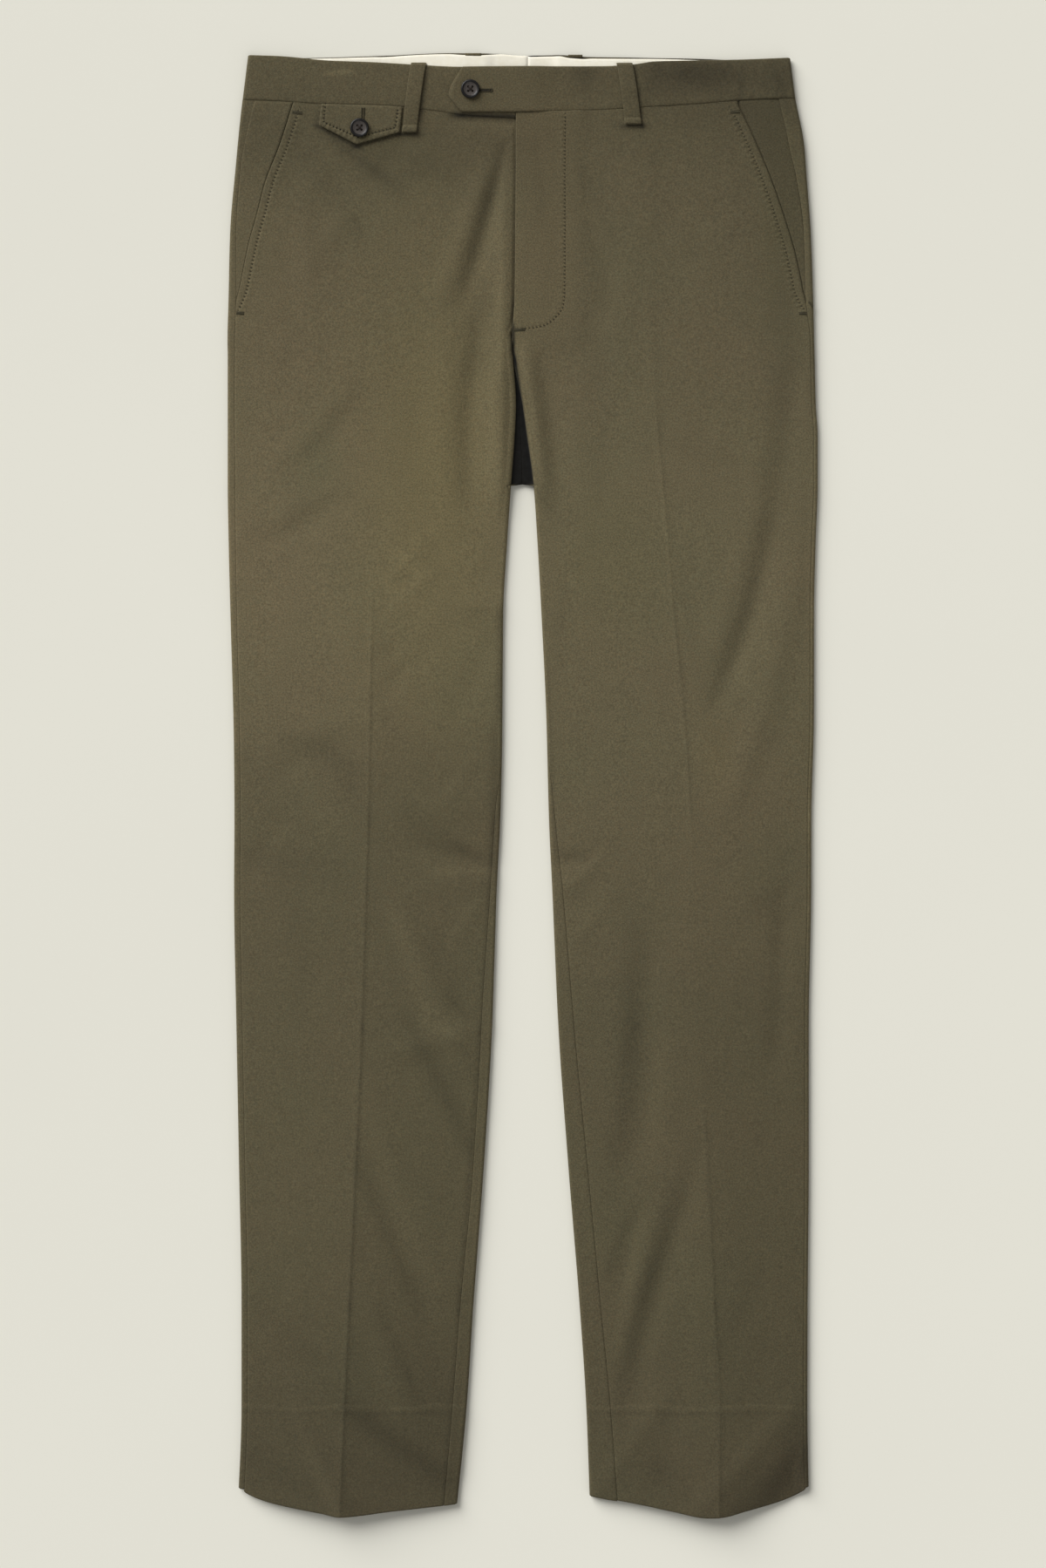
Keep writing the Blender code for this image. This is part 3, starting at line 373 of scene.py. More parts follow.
# Bar tacks: x and y of both ends, and their width.
BAR_TACKS = {
    "right": ((-185.0, 541.0, -176.8, 540.0, 1.5), (-229.9, 379.6, -223.6, 379.3, 1.3)),
    "left": (
        (167.0, 541.0, 174.6, 541.2, 1.5), (222.0, 379.3, 228.2, 379.3, 1.3),
        (229.6, 388.6, 233.4, 384.8, 1.3), (-7.0, 365.6, 2.2, 366.4, 1.2),
    ),
}

# Colours as linear values.
OLIVE = (0.117, 0.098, 0.0525)
OLIVE_BROWN = (0.1235, 0.0983, 0.0532)
OLIVE_GREEN = (0.112, 0.0975, 0.0513)
OLIVE_YELLOW = (0.1235, 0.1003, 0.0470)
CREAM = (0.86, 0.82, 0.70)
BUTTON_BROWN = (0.006, 0.005, 0.0045)
BUTTON_DISH = (0.058, 0.049, 0.043)
FLOOR_COLOUR = (0.752, 0.737, 0.651)
ZIP_BRASS = (0.45, 0.33, 0.14)

# Painted light and shade: how light the cloth is painted at each level, where 1 is the thigh: level and
# factor.
PAINTED_LIGHT_BY_LEVEL = {
    "right": (
        (590, 0.75), (530, 0.69), (490, 0.79), (450, 0.90), (422, 0.93), (354, 0.98), (290, 1.05),
        (219, 1.10), (150, 1.11),
        (84, 1.04), (50, 0.98), (10, 0.86), (-51, 0.82), (-190, 0.785), (-322, 0.77), (-400, 0.72),
        (-457, 0.665), (-530, 0.58),
        (-590, 0.56),
    ),
    "left": (
        (590, 0.66), (530, 0.71), (490, 0.80), (422, 0.87), (354, 0.90), (219, 0.98), (130, 0.975),
        (84, 0.955), (10, 0.92),
        (-51, 0.86), (-110, 0.83), (-190, 0.745), (-350, 0.72), (-457, 0.67), (-530, 0.63), (-590, 0.60),
    ),
}
# Patches of colour and of painted light and shade: x, y, reach along each, and how much lighter (painted
# light and shade), browner and yellower.
TONE_AND_PAINTED_LIGHT_PATCHES = (
    (-75, 250, 60, 190, 0.04, 0.0, 0.8),
    (-45, 300, 30, 110, 0.03, 0.1, 0.1),
    (20, 540, 40, 35, 0.06, 0.0, 0.0),
    (150, 562, 55, 30, -0.12, 0.0, 0.0),
    (195, 450, 45, 110, -0.08, 0.0, 0.0),
    (60, 570, 20, 30, 0.04, 0.0, 0.0),
    (20, 440, 26, 110, 0.0, 0.5, 0.2),
    (-190, 250, 60, 150, 0.0, 0.5, 0.0),
    (208, 480, 18, 80, 0.0, -0.7, 0.3),
    (132, 571, 36, 13, -0.17, 0.0, 0.0),
    (50, 572, 12, 13, -0.17, 0.0, 0.0),
    (208, 570, 18, 13, -0.10, 0.0, 0.0),
    (210, 350, 15, 150, -0.11, 0.0, 0.0),
    (110, -550, 12, 14, -0.10, 0.0, 0.0),
    (212, -545, 24, 36, 0.0, 0.6, 0.0),
    (-165, 265, 22, 45, 0.0, -0.9, 0.0),
    (-50, 90, 40, 60, 0.0, -0.6, 0.0),
    (70, 180, 40, 60, 0.0, -0.4, 0.3),
    (155, 25, 14, 30, 0.0, 0.2, 0.4),
    (0, -380, 300, 220, 0.0, -0.2, 0.1),
    (0, 560, 300, 60, 0.0, 0.1, 0.2),
)
# Bands of painted shade and painted highlight: x and y of both ends, width, and how much lighter.
PAINTED_LIGHT_AND_SHADE_BANDS = (
    # Right hip.
    (-146, 515, -114, 490, 6, -0.22),
    (-112, 490, -60, 494, 8, -0.06),
    (-104, 507, -90, 505, 5, -0.06),
    (-82, 502, -28, 508, 12, -0.06),
    (-176, 506, -152, 474, 9, -0.07),
    (-133, 450, -131, 444, 5, -0.08),
    (-146, 440, -150, 418, 6, -0.04),
    (-172, 455, -170, 425, 6, -0.04),
    (-16, 512, -27, 472, 3, -0.10),
    (-28, 468, -46, 412, 5, -0.17),
    (-33, 400, -35, 350, 6, -0.08),
    (-39, 378, -42, 340, 5, -0.08),
    (-12, 440, -12, 390, 3, 0.10),
    (-17, 450, -16, 340, 2.6, 0.08),
    # Right thigh.
    (-142, 302, -172, 256, 11, -0.06),
    (-160, 250, -180, 214, 12, -0.05),
    (-155, 232, -188, 211, 7, -0.05),
    (-100, 186, -94, 180, 6, 0.08),
    (-108, 160, -98, 154, 6, 0.06),
    (-112, 112, -110, 62, 8, -0.05),
    (-18, 138, -19, 60, 3, -0.20),
    (-36, 158, -20, 151, 4, 0.05),
    (-56, 136, -24, 134, 9, -0.04),
    (-46, 330, -46, 225, 5, -0.05),
    # Right knee.
    (-175, 33, -152, 22, 9, -0.08),
    (-148, 18, -138, 2, 9, -0.05),
    (-210, -58, -196, -64, 11, -0.06),
    (-172, -64, -158, -68, 9, -0.05),
    (-182, -95, -178, -165, 10, -0.05),
    (-172, -2, -152, -34, 10, 0.05),
    (-78, -32, -58, -50, 10, -0.09),
    (-50, -48, -34, -59, 4.5, -0.12),
    (-64, -68, -36, -68, 5, 0.11),
    (-22, 40, -23, -60, 4.5, -0.20),
    (-50, 15, -57, -4, 2.5, 0.06),
    (-98, -120, -80, -180, 7, 0.08),
    (-68, -128, -60, -146, 6, -0.07),
    (-56, -172, -43, -188, 4.5, -0.11),
    (-50, -112, -44, -104, 4, 0.06),
    # Right shin.
    (-72, -193, -50, -202, 5, 0.12),
    (-54, -188, -44, -192, 6, 0.10),
    (-82, -208, -50, -275, 8, -0.16),
    (-124, -262, -112, -300, 9, 0.07),
    (-126, -318, -92, -402, 5, -0.08),
    (-97, -342, -76, -388, 8, 0.05),
    (-84, -318, -72, -330, 8, -0.05),
    (-82, -412, -68, -488, 11, -0.05),
    (-204, -425, -188, -438, 9, -0.05),
    (-172, -455, -150, -458, 9, -0.04),
    (-108, -438, -82, -494, 5, -0.08),
    (-118, -466, -108, -494, 7, 0.08),
    # Right hem.
    (-122, -513, -70, -551, 9, -0.20),
    (-140, -566, -85, -574, 6, 0.07),
    (-166, -545, -149, -583, 5, 0.10),
    (-206, -546, -182, -558, 9, -0.06),
    (-225, -503, -60, -503.5, 1.8, -0.08),
    # Painted shade along the right leg's pressed crease and its inseam, and a painted highlight on its lit
    # inner edge.
    (-121.0, 108, -123.3, -27, 1.7, -0.10),
    (-123.3, -27, -128.6, -195, 1.8, -0.15),
    (-128.6, -195, -138.7, -419, 2.0, -0.18),
    (-138.7, -419, -146.0, -580, 2.0, -0.16),
    (-23.5, -30, -34.0, -195, 2.2, -0.14),
    (-34.0, -195, -51.0, -419, 2.3, -0.16),
    (-51.0, -419, -65.0, -590, 2.2, -0.12),
    (-19.5, -40, -25.5, -195, 2, 0.16),
    (-25.5, -195, -40.6, -419, 2, 0.16),
    (-40.6, -419, -54.9, -590, 2, 0.12),
    # Left waistband.
    (49, 576, 52, 548, 6, -0.08),
    (110, 584, 104, 556, 6, -0.12),
    (138, 577, 158, 574, 8, -0.10),
    (208, 562, 211, 552, 5, -0.18),
    (150, 553, 112, 551, 3, 0.08),
    (176, 560, 175, 553, 3, -0.12),
    # Left hip.
    (10, 512, 15, 462, 4, -0.07),
    (40, 488, 47, 466, 4, 0.05),
    (50, 490, 70, 446, 4, -0.08),
    (50, 440, 60, 396, 5, -0.05),
    (38, 440, 37, 385, 4, 0.04),
    (98, 500, 100, 300, 4, 0.03),
    (106, 500, 108, 300, 5, -0.05),
    (62, 345, 66, 300, 5, -0.05),
    # Left thigh.
    (196, 205, 180, 145, 5, -0.08),
    (178, 135, 157, 82, 4.5, -0.09),
    (130, 272, 160, 262, 10, -0.04),
    (18, 228, 30, 216, 5, -0.08),
    (33, 150, 29, 105, 4, -0.07),
    (130, 160, 134, 130, 6, -0.05),
    # Left knee.
    (36, -55, 50, -58, 4, -0.12),
    (40, -76, 52, -66, 3.5, 0.10),
    (38, -92, 46, -86, 5, -0.08),
    (145, 30, 160, 5, 9, 0.04),
    (186, -94, 206, -62, 6, -0.05),
    (198, -92, 212, -80, 8, -0.06),
    (212, -106, 221, -92, 3, -0.09),
    (203, -110, 200, -200, 8, -0.06),
    (90, -130, 87, -210, 14, -0.10),
    # Left shin.
    (88, -200, 76, -285, 8, -0.12),
    (113, -225, 106, -295, 7, 0.07),
    (116, -345, 104, -390, 9, -0.10),
    (104, -390, 92, -430, 7, -0.08),
    (86, -455, 80, -487, 7, -0.09),
    (82, -352, 70, -385, 4.5, -0.09),
    (98, -345, 88, -385, 4.5, 0.07),
    (88, -400, 78, -445, 4.5, 0.06),
    (138, -400, 132, -480, 9, 0.05),
    (182, -405, 162, -440, 8, -0.06),
    # Left hem.
    (190, -580, 232, -540, 22, -0.16),
    (206, -556, 230, -512, 11, -0.15),
    (221, -570, 227, -540, 4.5, -0.28),
    (55, -503.5, 215, -503, 1.8, -0.09),
    # The same painted shade and highlight along the left leg's crease and inseam, and a painted highlight
    # along its outer edge.
    (106.0, 285, 114.8, 205, 1.6, 0.05),
    (109.0, 285, 117.8, 205, 1.8, -0.06),
    (121.8, 141, 130.0, 57, 1.8, -0.09),
    (130.0, 57, 135.6, -20, 1.6, -0.08),
    (147.0, -270, 154.2, -419, 2.0, -0.12),
    (154.2, -419, 158.2, -570, 2.0, -0.11),
    (20.5, 90, 24.0, 0, 2, -0.12),
    (24.0, 0, 27.0, -50, 2, -0.12),
    (236.0, 300, 233.5, 141, 3, 0.14),
    (233.5, 141, 231.0, -27, 3, 0.18),
    (231.0, -27, 228.6, -419, 3, 0.20),
    (228.6, -419, 229.0, -540, 3, 0.14),
)
# Painted shade under the tab, the flap and the loops, along the fly's edge and in the gap between the legs,
# on the fronts and the waistband alone.
UNDER_SHADES = {
    "right": (
        (-52, 538.4, -2, 537.4, 2.3, -0.78),
        (-163.8, 529.2, -134.0, 513.6, 1.8, -0.50),
        (-133.0, 513.5, -99.0, 523.2, 1.7, -0.42),
        (-163.5, 548, -164.5, 531, 1.5, -0.18),
        (-76.6, 578, -83.6, 527, 1.8, -0.38),
        (-96, 523.0, -85.5, 523.0, 1.8, -0.50),
        (-60.5, 560, -50, 541, 1.6, -0.22),
        (-5.9, 500, -7.2, 392, 1.0, -0.30),
        (-7.2, 386, -8.4, 350, 1.4, -0.70),
    ),
    "left": (
        (88.8, 578, 96.0, 532, 1.8, -0.35),
        (83, 529.6, 95, 529.6, 1.9, -0.55),
        (-7.6, 368, -7.0, 342, 1.4, -0.85),
        (-5.7, 340, 6.5, 252, 1.6, -0.95),
    ),
}
# A pale streak painted on the right waistband: x and y of both ends, width, and how much lighter.
PALE_STREAK = (-154, 572.2, -141, 573.2, 1.7, 0.50)

# The photo shows 1259.3 mm from top to bottom, round a point just off the middle.
PHOTO_HEIGHT = 1259.3
CAMERA_PLACE = (0.35, 1.4, 3000.0)
SENSOR = 36.0
FOCUS_HEIGHT = 5.0
# Suns: name, where the light comes from, strength and angular width.
SUNS = (("sun", (-0.58, 0.66, 0.50), 4.1, 0.8), ("fill", (0.35, -0.80, 0.55), 0.5, 1.2))
SKY_STRENGTH = 0.282


def smooth(rows, at):
    """The value at a place in rows of (place, value), on a smooth line that never overshoots them."""
    rows = sorted(rows)
    places = np.array([row[0] for row in rows], float)
    values = np.array([row[1] for row in rows], float)
    steps = np.diff(values) / np.diff(places)
    slopes = np.zeros(len(rows))
    slopes[0], slopes[-1] = steps[0], steps[-1]
    both = steps[:-1] * steps[1:] > 0
    before, after = steps[:-1][both], steps[1:][both]
    slopes[1:-1][both] = 2 * before * after / (before + after)
    at = np.clip(np.asarray(at, float), places[0], places[-1])
    index = np.clip(np.searchsorted(places, at) - 1, 0, len(steps) - 1)
    run = places[index + 1] - places[index]
    t = (at - places[index]) / run
    return (
        values[index] * (1 + 2 * t) * (1 - t) ** 2
        + values[index + 1] * t * t * (3 - 2 * t)
        + slopes[index] * run * t * (1 - t) ** 2
        - slopes[index + 1] * run * t * t * (1 - t)
    )


def ease(value, low, high):
    """0 below low, 1 above high, and a soft step between them."""
    t = np.clip((np.asarray(value, float) - low) / (high - low), 0.0, 1.0)
    return t * t * (3 - 2 * t)


@functools.lru_cache(maxsize=None)
def size(side, column, level):
    """One named size of a leg's section at a level."""
    index = SECTION_COLUMNS.index(column)
    return float(smooth([(row[0], row[index]) for row in SECTIONS[side]], level))


def strokes(table, x, y):
    """The sum of soft straight ridges and troughs at a place."""
    x, y = np.broadcast_arrays(np.asarray(x, float), np.asarray(y, float))
    total = np.zeros(x.shape)
    for x0, y0, x1, y1, width, height in table:
        run_x, run_y = x1 - x0, y1 - y0
        length = math.hypot(run_x, run_y)
        along = ((x - x0) * run_x + (y - y0) * run_y) / length
        beside = ((x - x0) * run_y - (y - y0) * run_x) / length
        beyond = np.maximum(0.0, np.maximum(-along, along - length))
        total += height * np.exp(-((beside / width) ** 2) - (beyond / (3 * width)) ** 2)
    return total


@functools.lru_cache(maxsize=None)
def trail_lines(side):
    """The middle, width and height of each bending fold at every millimetre of its levels."""
    lines = []
    for rows in TRAILS[side]:
        levels = np.arange(rows[-1][0], rows[0][0] + 1.0)
        lines.append((levels, [smooth([(row[0], row[part]) for row in rows], levels) for part in (1, 2, 3)]))
    return lines


def trails(side, x, level):
    """The sum of the bending folds at places on one level."""
    total = np.zeros(np.shape(x))
    for levels, (middles, widths, heights) in trail_lines(side):
        if levels[0] < level < levels[-1]:
            parts = (middles, widths, heights)
            middle, width, height = (np.interp(level, levels, part) for part in parts)
            lean = np.interp(level + 1.0, levels, middles) - np.interp(level - 1.0, levels, middles)
            beside = (x - middle) / math.hypot(1.0, lean / 2.0)
            total = total + height * np.exp(-((beside / width) ** 2))
    return total


def unevenness(x, y):
    """The slight swell that laid cloth has everywhere."""
    broad = 0.16 * np.sin(x / 17 + 1.3) * np.sin(y / 41 + 0.4)
    broad = broad + 0.12 * np.sin((x + 0.6 * y) / 27 + 2.0) * np.sin(y / 23 + x / 60)
    small = 0.05 * np.sin(x / 5.3 + y / 31 + 0.7) * np.sin(y / 9.1 - x / 40)
    return broad + small


def hem_dimples(x, level):
    """The edge of the turned-up hem inside, and the row of small dimples where it is sewn blind."""
    line = HEM_TURN_UP + 1.2 * np.sin(x / 13.0) + 0.6 * np.sin(x / 4.1)
    beat = (0.5 + 0.5 * np.cos(2 * np.pi * (x + 1.5 * np.sin(x / 21.0)) / 8.5)) ** 2
    step = 0.5 * (1 - ease(level - line, -1.0, 2.0))
    return step - (0.10 + 0.26 * beat) * np.exp(-(((level - line) / 1.7) ** 2))


def seam_dip(side, across, level):
    """How far the cloth sinks beside the side seam, the inseam and the pocket's edge."""
    seam = size(side, "outer", level) - size(side, "side_seam", level)
    inseam = size(side, "inner", level) + size(side, "inseam", level)
    depth = SIDE_SEAM_DIP[side] if level > POCKET_END else SIDE_SEAM_DIP_BELOW
    dip = -depth * np.exp(-np.abs(across - seam) / 1.0)
    if size(side, "inseam", level) > size(side, "turn", level):
        dip = dip - 0.3 * np.exp(-np.abs(across - inseam) / 1.0)
    if level > POCKET_END:
        edge = front_outer_edge(side, level)
        dip = dip - POCKET_DIP[side] * np.exp(-np.abs(across - edge) / 0.8)
        stitch = edge - POCKET_STITCH_INSET[side]
        dip = dip - 0.06 * np.exp(-(((across - stitch) / 1.3) ** 2))
    waist = smooth(WAIST_SEAM[side], across)
    return dip - 0.35 * np.exp(-np.abs(waist - level) / 1.4)


def top_height(side, across, level):
    """Height of the front's outer face, apart from the rolls at its edges."""
    across = np.asarray(across, float)
    x = across * OUTWARD[side]
    outer, inner = size(side, "outer", level), size(side, "inner", level)
    crease = size(side, "crease", level)
    edge, rise = size(side, "edge", level), size(side, "rise", level)
    span = np.where(across > crease, outer - crease, crease - inner)
    away = np.clip(np.abs(across - crease) / span, 0.0, 1.0)
    height = edge + rise * (1 - away ** size(side, "roundness", level))
    margin = ease(outer - across, 0.0, 14.0) * ease(WAIST_LEVEL - level, 0.0, 14.0)
    height = height + margin * (trails(side, x, level) + strokes(FOLDS[side], x, level))
    fine = unevenness(x, level)
    pressed = float(smooth(CREASE_PRESS[side], level))
    fine = fine + pressed * np.exp(-np.abs(across - crease) / 1.8)
    height = height + fine * ease(outer - across, 1.0, 9.0) * ease(WAIST_LEVEL - level, 0.0, 14.0)
    height = height + hem_dimples(x, level)
    if side == "right":
        under_fly = ease(level, FLY_END_LEFT, FLY_END_LEFT + 7.0) * (1 - ease(across - inner, 0.4, 3.2))
        height = height * (1 - under_fly) + UNDERLAP_TOP * under_fly
    else:
        over_fly = ease(level, FLY_END_LEFT - 17.0, FLY_END_LEFT + 7.0)
        over_fly = over_fly * (1 - ease(across, FLY_WIDTH, FLY_WIDTH + 14.0))
        swell = 0.5 * unevenness(x, level) + 0.15
        height = height * (1 - over_fly) + (FLY_TOP + swell) * over_fly
    return height + seam_dip(side, across, level)


def wall_at(level):
    """The cloth's thickness: double where the hem is turned up."""
    return CLOTH + (HEM_CLOTH - CLOTH) * ease(-np.asarray(level), -HEM_TURN_UP - 6.0, -HEM_TURN_UP + 6.0)


def seam_on_front(side, level):
    """Across of the side seam."""
    return size(side, "outer", level) - size(side, "side_seam", level)


def front_outer_edge(side, level):
    """Across of the front's outer edge: the slant pocket's edge, and the side seam below it."""
    seam = seam_on_front(side, level)
    if level <= POCKET_END:
        return seam - GAP / 2
    pocket = float(smooth(POCKET_EDGE[side], level))
    run_out = float(ease(level, POCKET_END, POCKET_END + 3 * POCKET_RUN_OUT))
    return min(seam - GAP / 2, pocket * run_out + (seam - GAP / 2) * (1 - run_out))


def crotch_seam(level):
    """x of the seam between the two fronts, in the middle of the fold between the legs."""
    return (size("left", "inner", level) - size("right", "inner", level)) / 2


def arc(centre, radii, start, end, steps):
    """Points on an ellipse, with angles in degrees."""
    angles = np.radians(np.linspace(start, end, steps))
    return [
        (centre[0] + radii[0] * math.cos(angle), centre[1] + radii[1] * math.sin(angle))
        for angle in angles
    ]


def on_top(side, level, start, end):
    """Points of the front's outer face from one place across to another."""
    across = np.linspace(start, end, max(3, round(abs(end - start) / 0.8)))
    return list(zip(across, top_height(side, across, level)))


def inner_roll(side, level, seam):
    """The roll at a front's inner edge: down to its seam and, above the fork, on to the crotch seam."""
    inner, turn = size(side, "inner", level), size(side, "turn", level)
    top = float(top_height(side, inner + turn, level))
    if level < FORK_LEVEL - FORK_STEP / 2:
        reach = max(0.0, min(turn, seam))
        upto = math.degrees(math.acos((reach - turn) / turn))
        return arc((inner + turn, top / 2), (turn, top / 2), 90, upto, 16)
    room = inner - crotch_seam(level) * OUTWARD[side] - GAP / 2
    foot = min(FOOT_RADIUS, max(0.0, room))
    points = arc((inner + turn, top / 2), (turn, top / 2), 90, 180, 16)
    if foot < 0.1:
        return points + [(inner, CLOTH + GAP + 0.1)]
    points += arc((inner - foot, FLOOR_TOP + foot), (foot, foot), 0, -90, 5)
    return points + [(inner - room - 0.001, FLOOR_TOP)]


def front_contour(side, level):
    """A front's outer line at a level, as three stretches that meet at the crease and at the roll."""
    start = front_outer_edge(side, level)
    crease, inner = size(side, "crease", level), size(side, "inner", level)
    turn, seam = size(side, "turn", level), size(side, "inseam", level)
    if level > FLY_END_LEFT + (4.0 if side == "right" else -0.5):
        roll_start, open_edge = inner + turn + 4.0, inner
        if side == "right":
            open_edge = inner - UNDERLAP_WIDTH if level >= FLY_END_RIGHT else inner + GAP
        last = on_top(side, level, roll_start, open_edge)
    elif seam > turn:
        roll_start = inner + seam + turn + 2.0
        last = on_top(side, level, roll_start, inner + seam + GAP / 2)
    else:
        roll_start = inner + seam + turn + 2.0
        last = on_top(side, level, roll_start, inner + turn)[:-1]
        last += inner_roll(side, level, seam)
    return on_top(side, level, start, crease), on_top(side, level, crease, roll_start), last


def back_contour(side, level):
    """A back's outer line: from the side seam round the outer edge, and under the leg to its inner seam."""
    outer, inner = size(side, "outer", level), size(side, "inner", level)
    turn, seam = size(side, "turn", level), size(side, "inseam", level)
    begin = seam_on_front(side, level) + GAP / 2
    top = float(top_height(side, outer - SIDE_TURN, level))
    first = []
    if begin < outer - SIDE_TURN - 0.2:
        first = on_top(side, level, begin, outer - SIDE_TURN)[:-1]
    from_angle = 90
    if begin > outer - SIDE_TURN:
        from_angle = math.degrees(math.acos(min(1.0, (begin - outer + SIDE_TURN) / SIDE_TURN)))
    first += arc((outer - SIDE_TURN, top / 2), (SIDE_TURN, top / 2), from_angle, -90, 16)
    if level > FORK_LEVEL - FORK_STEP / 2:
        bend = LIFT_ACROSS[1] + 3.0
        middle = [(outer - SIDE_TURN, 0.0), (bend, 0.0)]
        return first, middle, [(bend, 0.0), (GAP / 2, 0.0)]
    top = float(top_height(side, inner + turn, level))
    middle = [(outer - SIDE_TURN, 0.0), (inner + turn, 0.0)]
    if seam > turn:
        last = arc((inner + turn, top / 2), (turn, top / 2), 270, 90, 16)
        return first, middle, last + on_top(side, level, inner + turn, inner + seam - GAP / 2)[1:]
    upto = math.degrees(math.acos((max(0.0, seam) - turn) / turn) + 2.0 * GAP / (top / 2))
    return first, middle, arc((inner + turn, top / 2), (turn, top / 2), 270, upto, 16)


# How the columns are shared out in each stretch of a contour: length and count of the fine columns
# at its start, count of the coarse ones, and length and count of the fine ones at its end.
FRONT_COLUMNS = ((12.0, 9, 20, 7.0, 8), (7.0, 8, 22, 4.0, 4), (0.0, 0, 22, 0.0, 0))
BACK_COLUMNS = ((0.0, 0, 20, 0.0, 0), (0.0, 0, 7, 0.0, 0), (0.0, 0, 18, 0.0, 0))


def share_out(stretch, plan):
    """Points along one stretch of a line: fine, coarse and fine again."""
    line = np.array(stretch, float)
    run = np.concatenate([[0.0], np.cumsum(np.linalg.norm(np.diff(line, axis=0), axis=1))])
    start, start_count, coarse_count, end, end_count = plan
    total = run[-1]
    marks = np.concatenate([
        np.linspace(0.0, start, start_count, endpoint=False),
        np.linspace(start, total - end, coarse_count, endpoint=False),
        np.linspace(total - end, total, end_count + 1),
    ])
    return np.column_stack([np.interp(marks, run, line[:, 0]), np.interp(marks, run, line[:, 1])])


def contour_table(side, contour, columns, levels):
    """Across and height of each column at each level."""
    across, height = [], []
    for level in levels:
        parts = [share_out(stretch, plan) for stretch, plan in zip(contour(side, float(level)), columns)]
        line = np.concatenate([part[:-1] for part in parts[:-1]] + [parts[-1]])
        across.append(line[:, 0])
        height.append(line[:, 1])
    return np.array(across), np.array(height)


def table_levels(side):
    """Levels of the contour table, which leaves out the short spans where a front changes shape."""
    levels = np.concatenate([
        np.arange(556.0, 300.0, -2.0), np.arange(300.0, -486.0, -4.0), np.arange(-486.0, -510.0, -1.0),
        np.arange(-510.0, -594.0, -4.0), [FORK_LEVEL, FORK_LEVEL - FORK_STEP, POCKET_END, HEM_LEVEL],
        [FLY_END_RIGHT, 364.0, FLY_END_LEFT, 350.0],
    ])
    levels = np.unique(np.round(levels, 3))
    skips = [(FORK_LEVEL - FORK_STEP, FORK_LEVEL)]
    skips += [(FLY_END_LEFT, 364.0), (364.0, FLY_END_RIGHT)] if side == "right" else [(350.0, FLY_END_LEFT)]
    for low, high in skips:
        levels = levels[(levels <= low) | (levels >= high)]
    return levels


def row_levels():
    """Levels of a panel's rows: close at its ends, at the hem's stitches and near the waist."""
    return np.concatenate([
        [WAIST_LEVEL, WAIST_LEVEL - 0.7, WAIST_LEVEL - 1.5], np.arange(545.6, 300.0, -2.0),
        np.arange(300.0, 243.0, -2.6), [FORK_LEVEL, FORK_LEVEL - FORK_STEP],
        np.arange(238.0, -490.0, -3.0), np.arange(-490.0, -506.0, -1.0),
        np.arange(-506.0, -572.0, -3.0), [HEM_LEVEL + 2.0, HEM_LEVEL + 0.8, HEM_LEVEL],
    ])


def blended_level(level, across, waist, hem):
    """A row's level at one place across, bent to follow the waist seam and the hem near them."""
    at_waist = ease(level, WAIST_LEVEL - BLEND_LENGTH, WAIST_LEVEL)
    at_hem = ease(-level, -HEM_LEVEL - BLEND_LENGTH, -HEM_LEVEL)
    bend = (smooth(waist, across) - WAIST_LEVEL) * at_waist
    return level + bend + (smooth(hem, across) - HEM_LEVEL) * at_hem


def back_lift(x, y):
    """How much the back layers rise over the belt loops that lie under them."""
    inside, near, far, outside = LIFT_ACROSS
    beside = ease(np.abs(x), inside, near) * (1 - ease(np.abs(x), far, outside))
    return LOOP_LIFT * beside * ease(y, LOOP_FOOT - 36.0, LOOP_FOOT)


def panel_grids(side, contour, columns, waist, hem, turn_over):
    """Outer and inner points of a front or a back, as arrays of rows of (x, y, z)."""
    levels = table_levels(side)
    across_table, height_table = contour_table(side, contour, columns, levels)
    rows = row_levels()
    count = across_table.shape[1]
    across = np.empty((len(rows), count))
    y, z = np.empty_like(across), np.empty_like(across)
    for column in range(count):
        near = np.interp(rows, levels, across_table[:, column])
        y[:, column] = blended_level(rows, near, waist, hem)
        across[:, column] = np.interp(y[:, column], levels, across_table[:, column])
        z[:, column] = np.interp(y[:, column], levels, height_table[:, column])
    run_a, run_z = np.gradient(across, axis=1), np.gradient(z, axis=1)
    length = np.maximum(np.hypot(run_a, run_z), 1e-9)
    normal_a, normal_z = run_z / length * turn_over, -run_a / length * turn_over
    if turn_over < 0:
        z = z + np.where(z < CLOTH, back_lift(across, y), 0.0)
    wall = wall_at(y)
    out = OUTWARD[side]
    outer = np.stack([across * out, y, z], axis=-1)
    inner = np.stack([(across - wall * normal_a) * out, y, z - wall * normal_z], axis=-1)
    return outer, inner


